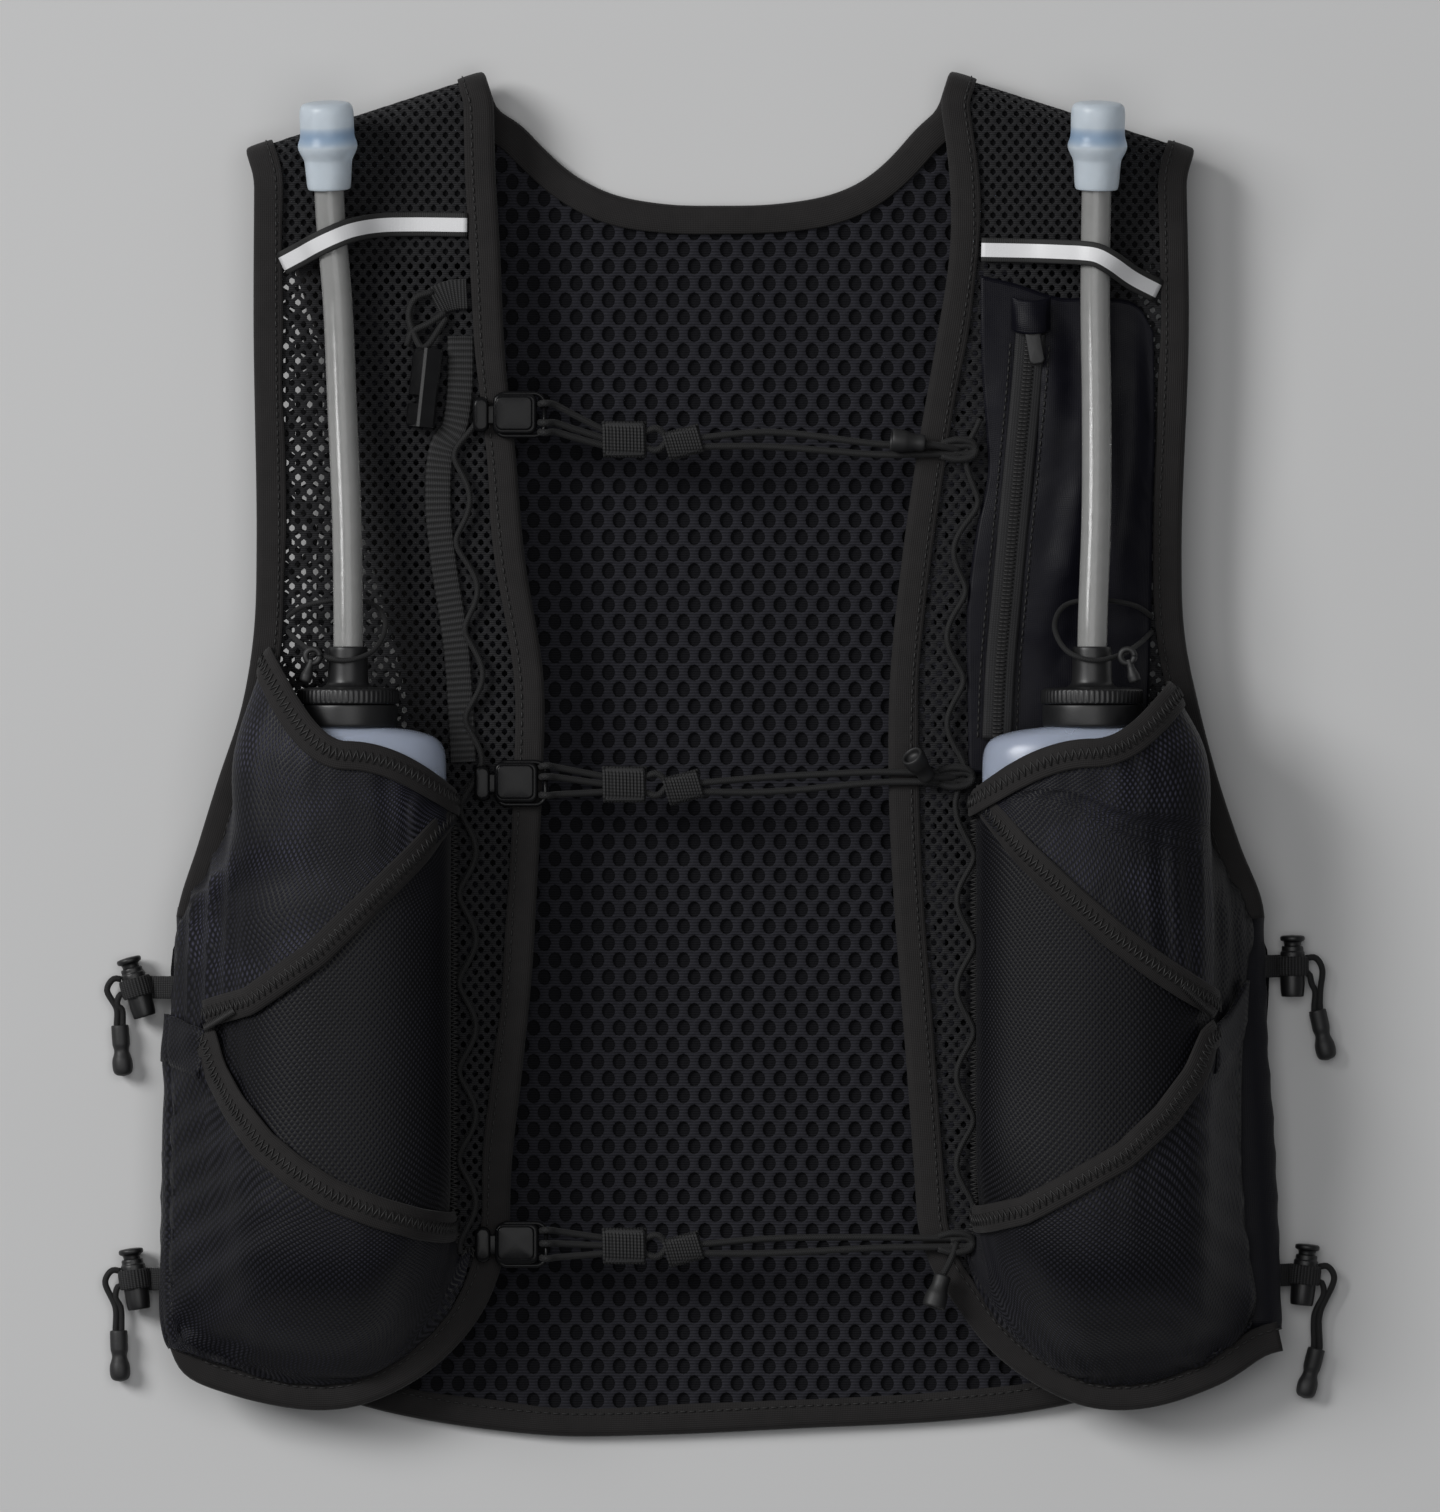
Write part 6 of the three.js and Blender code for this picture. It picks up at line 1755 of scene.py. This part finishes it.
def pocket_cloth():
    edge = lambda name, count: evenly(spline(np.array(CHEST_POCKET[name], float), 200), count)
    left, right, top = edge("left", CHEST_ROWS), edge("right", CHEST_ROWS), edge("top", CHEST_COLUMNS)
    flat = coons(np.linspace(left[0], right[0], CHEST_COLUMNS), top, left, right)
    u = np.linspace(0, 1, CHEST_COLUMNS)[None, :]
    v = np.linspace(0, 1, CHEST_ROWS)[:, None]
    arch = np.sin(np.pi * u)
    stand = CHEST_POCKET["puff"] * arch * np.minimum(1, 4 * (1 - v)) * ease(v, *CHEST_POCKET["flat"])
    folds = (
        0.9 * np.sin(15 * u + 3 * v + 1.2 * np.sin(7 * v)) * arch * ease(v, 0.05, 0.3)
        + 0.8 * np.sin(25 * u + 1.4 * np.sin(5 * v)) * arch * ease(v, 0.3, 0.5)
        + 0.45 * np.sin(46 * v) * np.exp(-np.abs(u - 0.52) / 0.1)
        + 0.6 * np.sin(30 * u + 2) * np.exp(-(1 - v) / 0.12)
    )
    rise = GAP + 0.4 + POCKET_WALL / 2 + np.maximum(0, stand + folds * np.minimum(1, 6 * (1 - v) * (v + 0.1)))
    points = np.array([(x, y, FRONT_TOP["right"].at(x, y)[0]) for x, y in flat.reshape(-1, 2)])
    points[:, 2] += rise.ravel()
    return points.reshape(CHEST_ROWS, CHEST_COLUMNS, 3)


CHEST_GRID = pocket_cloth()
CHEST_TOP = Cloth(CHEST_GRID + normals_of(CHEST_GRID) * POCKET_WALL / 2)


def chest_pocket():
    cloth = piece("chest_pocket", shell(CHEST_GRID, POCKET_WALL), NYLON, ["chest_pocket"])
    declare(CHEST_GRID)
    line = spline(rows_of(ZIP_ROUTE, "x", "y"), 60)
    seat = smoothed(CHEST_TOP.seat(line, GAP + 0.4 + ZIP["wall"] / 2), 9)
    flat_tape("chest_zip", seat, ZIP["width"], ZIP["wall"], ZIP_TAPE, ["chest_zip"])
    out, up = level_frame(seat)
    top = seat + up * ZIP["wall"] / 2
    for name, s in SIDES.items():
        row = top + out * s * ZIP["coil"] + up * 0.05
        stitch_row(f"chest_zip_coil_{name}", row, up, ZIP["tooth"], coil())
    for name, s in SIDES.items():
        row = CHEST_TOP.seat((seat + out * s * (ZIP["width"] / 2 + 1.4))[4:-1], 0.2)
        facing = everywhere(UP, row)
        stitch_row(f"chest_zip_stitches_{name}", row, facing, 2.6, bar(1.7, 0.55, 0.5))


def coil():
    """One loop of a zip's coil, across the zip."""
    angle = np.linspace(0, np.pi, 6)
    path = np.column_stack([0 * angle, 0.95 * np.cos(angle), 0.5 * np.sin(angle)])
    return tube(path, 0.42, 6)


def puller():
    """A flat rubber tag that hangs from a metal slider over the zip's upper end."""
    x, y = PULLER["x"], PULLER["y"]
    under = CHEST_TOP.at(x - 1, y - PULLER["length"])[0]
    low = under + ZIP["wall"] + 1.5
    tag_line = round_outline(x + 0.5, y - 8, PULLER["width"], PULLER["length"], 1.6, 10)
    tag = soft_box(tag_line, low, low + PULLER["thickness"], 0.7)
    slider = soft_box(round_outline(x, y - 3, 5.4, 6.4, 2, 4), low - 0.6, low + 1.2, 0.6)
    piece("zip_puller", joined(tag, slider), RUBBER, ["zip_puller"])
    arch = GARAGE_ARCH
    hood = [
        spline(np.column_stack([
            x - 0.6 + arch["across"] * GARAGE_WIDTH, y + at + arch["up"],
            low + arch["rise"] + arch["bulge"] * bulge]), 25)
        for at, bulge in GARAGE_ROWS
    ]
    grid = np.array([spline(column, 17) for column in np.transpose(hood, (1, 0, 2))]).transpose(1, 0, 2)
    piece("zip_garage", shell(grid, 0.7), NYLON)


chest_pocket()
puller()

# Straw keepers, webbing and lacing on the fronts

DAISY_WIDTH = 8.5
KEEPER_WIDTH = 8
LACING = {"radius": 0.95, "pitch": 29, "out": 6.2}
LACING_FIRST = {"left": 70.3, "right": 83}


def keeper(side):
    route = KEEPER_ROUTES[side]
    seat = FRONT_TOP[side].seat(rows_of(route, "x", "y"), TAPE_SEAT + route["rise"])
    flat_tape(f"straw_keeper_{side}", spline(seat, 90), KEEPER_WIDTH, TAPE_WALL, REFLECT,
              [f"straw_keeper_{side}"])


def lacing(side, first):
    """A thin cord down a front beside its pockets, sewn down at even steps, that stands out between them."""
    base = LACING_BASE[side]
    y = np.arange(base["y"][-1], base["y"][0], -1.2)
    wave = np.sin(np.pi * (y - first) / LACING["pitch"]) ** 2
    x = SIDES[side] * (np.interp(y, base["y"], base["out"]) - LACING["out"] * wave ** 0.7)
    seat = FRONT_TOP[side].seat(np.column_stack([x, y]), LACING["radius"] + GAP + 0.9 + 0.5 * wave)
    piece(f"lacing_{side}", tube(smoothed(seat, 5), LACING["radius"], 8), BRAID)


for side_name in SIDES:
    keeper(side_name)
DAISY = smoothed(FRONT_TOP["left"].seat(spline(rows_of(DAISY_ROUTE, "x", "y"), 120), TAPE_SEAT), 5)
flat_tape(
    "daisy_webbing", DAISY, DAISY_WIDTH, TAPE_WALL, DAISY_WEBBING, ["daisy_webbing"],
    rib=DAISY_RIB)
for side_name, first_tack in LACING_FIRST.items():
    lacing(side_name, first_tack)
ARM_LACE = FRONT_TOP["left"].seat(spline(rows_of(ARM_LACES, "out", "y") * (-1, 1), 90), -FRONT_WALL - 3.2)
piece("arm_lace_left", tube(ARM_LACE, 1.5, 10), BRAID)

# Chest straps: buckle, cords, wound keepers, hitch and tip

HOLLOW_TIP = [
    (0.4, 0), (2.6, 0), (2.9, 1), (2.7, 3.2), (3.1, 5.2), (3.8, 7), (3.9, 10.6), (3.5, 11.3), (2.7, 11.1),
    (2.5, 9.2), (0.1, 8.8)]
STRAND_STARTS = {"top": (4.4, -3.2, -7.0), "mid": (6.8, 2.6, -4.7), "low": (5.6, 0.4, -5.4)}
TURNS = 12
HITCH_KNOT = np.array([
    (-7, 2, 0.8), (-2, 3.2, 1.2), (3.4, 2.2, 0.8), (4.4, 0.2, 0.2), (2.4, -1.4, 0), (-3, -0.6, 0.4)])


def flat_ring(outline, z, width, depth):
    """A closed bar round an outline in the plane."""
    path = np.column_stack([np.vstack([outline, outline[:1]]), np.full(len(outline) + 1, z)])
    run = np.roll(outline, -1, 0) - np.roll(outline, 1, 0)
    out = unit(np.column_stack([run[:, 1], -run[:, 0], 0 * run[:, 0]]))
    out = np.vstack([out, out[:1]])
    up = everywhere(UP, path)
    return sweep(path, out, up, round_section(width, depth, 2.6, 12))


def buckle(name, x, y):
    low = BUCKLE["low"]
    high = low + BUCKLE["thickness"]
    face = soft_box(round_outline(x - 1.6, y + 0.3, 14.4, 13.4, 2.6, 0, 8), low, high + 0.5, 1.1)
    crown = soft_box(round_outline(x - 1.9, y + 0.5, 12.2, 11.2, 2.0, 0, 8), high - 0.6, high + 1.3, 0.7)
    frame = flat_ring(round_outline(x, y, 16.2, 14.0, 3.4, 0, 8), low + 1.5, 1.5, 2.8)
    neck = soft_box(round_outline(x + 3 - BUCKLE["nub"], y, 6, 6.4, 1.2), low, low + 2.2, 0.6)
    nub_line = round_outline(x - BUCKLE["nub"] - 0.4, y, 5.2, 11.8, 2.5, 0, 8)
    nub = soft_box(nub_line, low - 0.2, high + 0.2, 1.4)
    piece(f"strap_buckle_{name}", joined(face, crown, frame, neck, nub), BUCKLE_GLOSS,
          [f"strap_buckle_{name}"])


def winding(x, y, z, length, width, depth, turn):
    """Cord wound side by side round the strands."""
    angle = np.linspace(0, 2 * np.pi * TURNS, TURNS * 28)
    thread = length / TURNS / 2
    path = np.column_stack([
        np.linspace(-length / 2 + thread, length / 2 - thread, len(angle)),
        soft_round(angle, width - 2 * thread, depth - 2 * thread, 3.2)])
    half = depth / 2 - 0.5
    core = soft_box(round_outline(0, 0, length - 1.2, width - 1.2, 1.2), -half, half, 0.9)
    placed = lambda points: points @ spin(turn) + (x, y, z)
    return joined(tube(placed(path), thread * 1.06, 8), (placed(core[0]), *core[1:]))


def cords(*routes):
    return joined(*(tube(spaced(spline(np.array(r, float), 60), 1.2), CORD_RADIUS, 10) for r in routes))


def chest_strap(name, buckle, wrap_y, hitch, tip, tip_turn, tip_rise):
    x, y = buckle
    over = BUCKLE["low"] + BUCKLE["thickness"] + 0.9
    sag = STRAP_Z - STRAP_SAG
    rows = [{n: values[k] for n, values in WRAPS.items()} for k in range(2)]
    near, far = rows
    end = FRONT_TOP["right"].seat([hitch], GAP + 2.9)[0]
    entry = near["x"] - near["length"] / 2 + 2
    routes = [
        [(x + 6.4, y + d * 0.8, over - 3), (x + 7.4, y + d * 0.84, over - 0.2), (x + 8.9, y + d * 0.86, over),
         (x + 11, y + d * 0.8, STRAP_Z + 0.4),
         ((x + entry) / 2 + 4, 0.58 * (y + d * 0.8) + 0.42 * (wrap_y + 2.4 * (1 - k)), (STRAP_Z + sag) / 2),
         (entry, wrap_y + 2.4 * (1 - k), sag)]
        for k, d in enumerate(STRAND_STARTS[name])
    ]
    left, right = near["x"] + near["length"] / 2 - 1, far["x"] - far["length"] / 2 + 2
    routes += [
        [(left, wrap_y + 2.4 * s, sag), ((left + right) / 2, wrap_y + 3.6 * s, sag + 0.6),
         (right, wrap_y - 1 * s, sag)]
        for s in (-1, 1)
    ]
    routes += [
        [(far["x"] + far["length"] / 2 - 2, wrap_y - 1 + s * 1.4, sag), (16, wrap_y + s * 2.4, sag),
         (hitch[0] - 26, hitch[1] + s * 1.7, end[2]), (hitch[0] - 12, hitch[1] + s * 1.5, end[2] + 0.6),
         (end[0], end[1] + s * 1.4, end[2])]
        for s in (-1, 1)
    ]
    strands = cords(*routes)
    wraps = [
        winding(row["x"], wrap_y - k, sag, row["length"], row["width"], row["depth"], 15 * k)
        for k, row in enumerate(rows)
    ]
    knot = cords(*(end + HITCH_KNOT * (1, s, 1) for s in (-1, 1)))
    tip_at = np.array([*tip, end[2] + 3.4])
    lead = cords([end + (-1, 0, 0.4), (end + tip_at) / 2 + (0, 0, 0.4), tip_at])
    sleeve_end = turned(rounded(HOLLOW_TIP), tip_at, direction(tip_turn) + (0, 0, tip_rise), 24)
    piece(f"chest_strap_{name}", strands, BRAID, [f"chest_strap_{name}"])
    piece(f"strap_windings_{name}", joined(*wraps), WEBBING)
    piece(f"strap_hitch_{name}", joined(knot, lead), BRAID)
    piece(f"strap_tip_{name}", sleeve_end, RUBBER)


for strap_name, strap_facts in STRAPS.items():
    buckle(strap_name, *strap_facts["buckle"])
    chest_strap(strap_name, **strap_facts)

# Side locks on their tabs

LOCK_BODY = [
    (0.1, -10.2), (3.4, -10.2), (3.8, -9.8), (4.1, -6), (4.1, 4.2), (3.9, 4.8), (3.6, 5), (3.6, 6.4),
    (3.2, 6.7), (0.1, 6.8)]
LOCK_BUTTON = [(0.1, 6), (2.8, 6), (2.8, 8), (3.8, 8.3), (4.1, 8.8), (4.1, 9.6), (3.6, 10.1), (0.1, 10.3)]
LOCK_BAND = {"radius": 4.75, "width": 6.4, "wall": 1.1}
TAB_WIDTH = 7.5
TAB_Z = 11.6


def side_lock(name, side, lock, turn, **_):
    s = SIDES[side]
    axis = direction(turn)
    at = np.array([*lock, LOCK_Z + 0.8])
    button, body = (turned(rounded(profile), at, axis, 40) for profile in (LOCK_BUTTON, LOCK_BODY))
    piece(f"side_lock_{name}", joined(body, button), SATIN, [f"side_lock_{name}"])
    circle = np.linspace(0, 2 * np.pi, 121)[:, None]
    radial = np.cross(axis, (0, 0, 1.0)) * np.cos(circle) + np.array([0, 0, 1.0]) * np.sin(circle)
    ridge = 1 + 0.24 * np.cos(circle * round(2 * np.pi * LOCK_BAND["radius"] / RIB))
    path = at + radial * LOCK_BAND["radius"]
    path[:, 2] = np.maximum(path[:, 2], 0.6)
    section = round_section(LOCK_BAND["width"], LOCK_BAND["wall"], 3.2, 16)
    shape = section[None] * np.stack([np.ones_like(ridge), ridge], 2)
    band = sweep(path, everywhere(axis, path), radial, shape)
    piece(f"side_band_{name}", band, WEBBING)
    face = np.interp(lock[1], GUSSET_LINE["y"], GUSSET_LINE[side]) + s * GUSSET_WALL / 2
    inner, outer = face - s * 1.5, lock[0] - s * (LOCK_BAND["radius"] - 0.6)
    tab = [(inner, lock[1], TAB_Z), ((inner + outer) / 2, lock[1], TAB_Z - 4), (outer, lock[1], LOCK_Z)]
    flat_tape(f"side_tab_{name}", spline(np.array(tab), 30), TAB_WIDTH, TAPE_WALL, WEBBING,
              [f"side_tab_{name}"], rib=RIB)


for lock_name, lock_facts in SIDE_LOCKS.items():
    side_lock(lock_name, **lock_facts)

# Whistle on a cord from its tab

WHISTLE = {"x": -97.6, "y": 121.5, "length": 26, "width": 9.6, "thickness": 7, "turn": 6}


def whistle():
    """Two long facets that meet in a ridge, with a sound slot cut across the left one."""
    w, l = WHISTLE["width"] / 2, WHISTLE["length"] / 2
    ridge = -0.6
    section = lambda cut: [
        (-w + cut, 0), (w, 0), (w, 4.6), (w - 0.6, 5.2), (ridge + 0.5, WHISTLE["thickness"]),
        (ridge - 0.5, WHISTLE["thickness"] - 0.1), (-w + cut + 0.4, 4.2), (-w + cut, 3.6)]
    cuts = [
        (-l, 0.8), (-l + 0.6, 0), (-5.6, 0), (-5.5, 2.8), (-3.6, 2.2), (-2.6, 0), (l - 2.4, 0),
        (l - 0.6, 0.5), (l, 1.6)]
    rings = []
    for y, cut in cuts:
        ring = np.array(section(cut))
        rings.append(np.column_stack([ring[:, 0], np.full(len(ring), y), ring[:, 1]]))
    seat = FRONT_TOP["left"].seat([(WHISTLE["x"], WHISTLE["y"])], GAP + 0.4)[0]
    points, faces, uvs = loft(rings)
    points = points @ spin(-WHISTLE["turn"]) + seat
    piece("whistle", (points, faces, uvs), GLOSS, ["whistle"], smooth=False)


def whistle_cord():
    place = lambda *rows: FRONT_TOP["left"].seat([r[:2] for r in rows], [r[2] for r in rows])
    tab = place(
        (-83.6, 152.4, TAPE_SEAT), (-87, 152.2, TAPE_SEAT), (-90.6, 151.4, TAPE_SEAT),
        (-94.2, 149.6, TAPE_SEAT + 0.5))
    flat_tape("whistle_tab", spline(tab, 40), 10, TAPE_WALL, WEBBING, ["whistle_tab"], rib=RIB)
    loop = place(
        (-94.6, 153.2, 1.6), (-100.4, 151, 1.8), (-102.6, 145.6, 1.8), (-100.8, 139, 2.6),
        (-98.2, 134.6, 3.4), (-96.2, 135.6, 3.2), (-93.4, 139.6, 2.2), (-90.2, 144.6, 1.6))
    over = place((-90.6, 146.4, 2.2), (-96, 142.6, 2.6), (-101.6, 139.6, 2.4), (-103.2, 135.2, 2.0))
    piece("whistle_cord", cords(loop, over), BRAID)


whistle()
whistle_cord()

# Neck loops: a thin cord round each flask's stem, with a pull on it

PULL_RING = {"radius": 2.3, "bar": 1.0, "tail": 9, "lean": 17}


def neck_loop(side):
    s = SIDES[side]
    floor = FRONT_TOP[side].seat([(s * 141, 42)], GAP + LOOP_CORD_RADIUS + 0.2)[0, 2]
    route = rows_of(LOOP_ROUTE, "out", "y", "z") * (s, 1, 1) + (0, 0, floor)
    loop = tube(spaced(spline(route, 160), 1.2), LOOP_CORD_RADIUS * 0.9, 10)
    piece(f"neck_loop_{side}", loop, BRAID, [f"neck_loop_{side}"])
    seat = route[8] * 0.6 + route[9] * 0.4 - (0, 3.4, 0)
    angle = np.linspace(0, 2 * np.pi, 25)
    middle = seat + (0, 1.6, LOOP_CORD_RADIUS + GAP + 5.5)
    ring = middle + PULL_RING["radius"] * np.column_stack([np.cos(angle), np.sin(angle), 0 * angle])
    path = middle - np.outer([1.2, 3, 5, 6.6, PULL_RING["tail"]], direction(PULL_RING["lean"] * s))
    widths = np.interp(np.linspace(0, 1, 24), [0, 0.35, 0.75, 0.95, 1], [1.1, 1.2, 2.0, 2.0, 1.4])
    stem = tube(spline(path, 24), widths, 12)
    pull = joined(tube(ring, PULL_RING["bar"], 10), stem)
    piece(f"loop_pull_{side}", pull, RUBBER, [f"loop_pull_{side}"])


for side_name in SIDES:
    neck_loop(side_name)
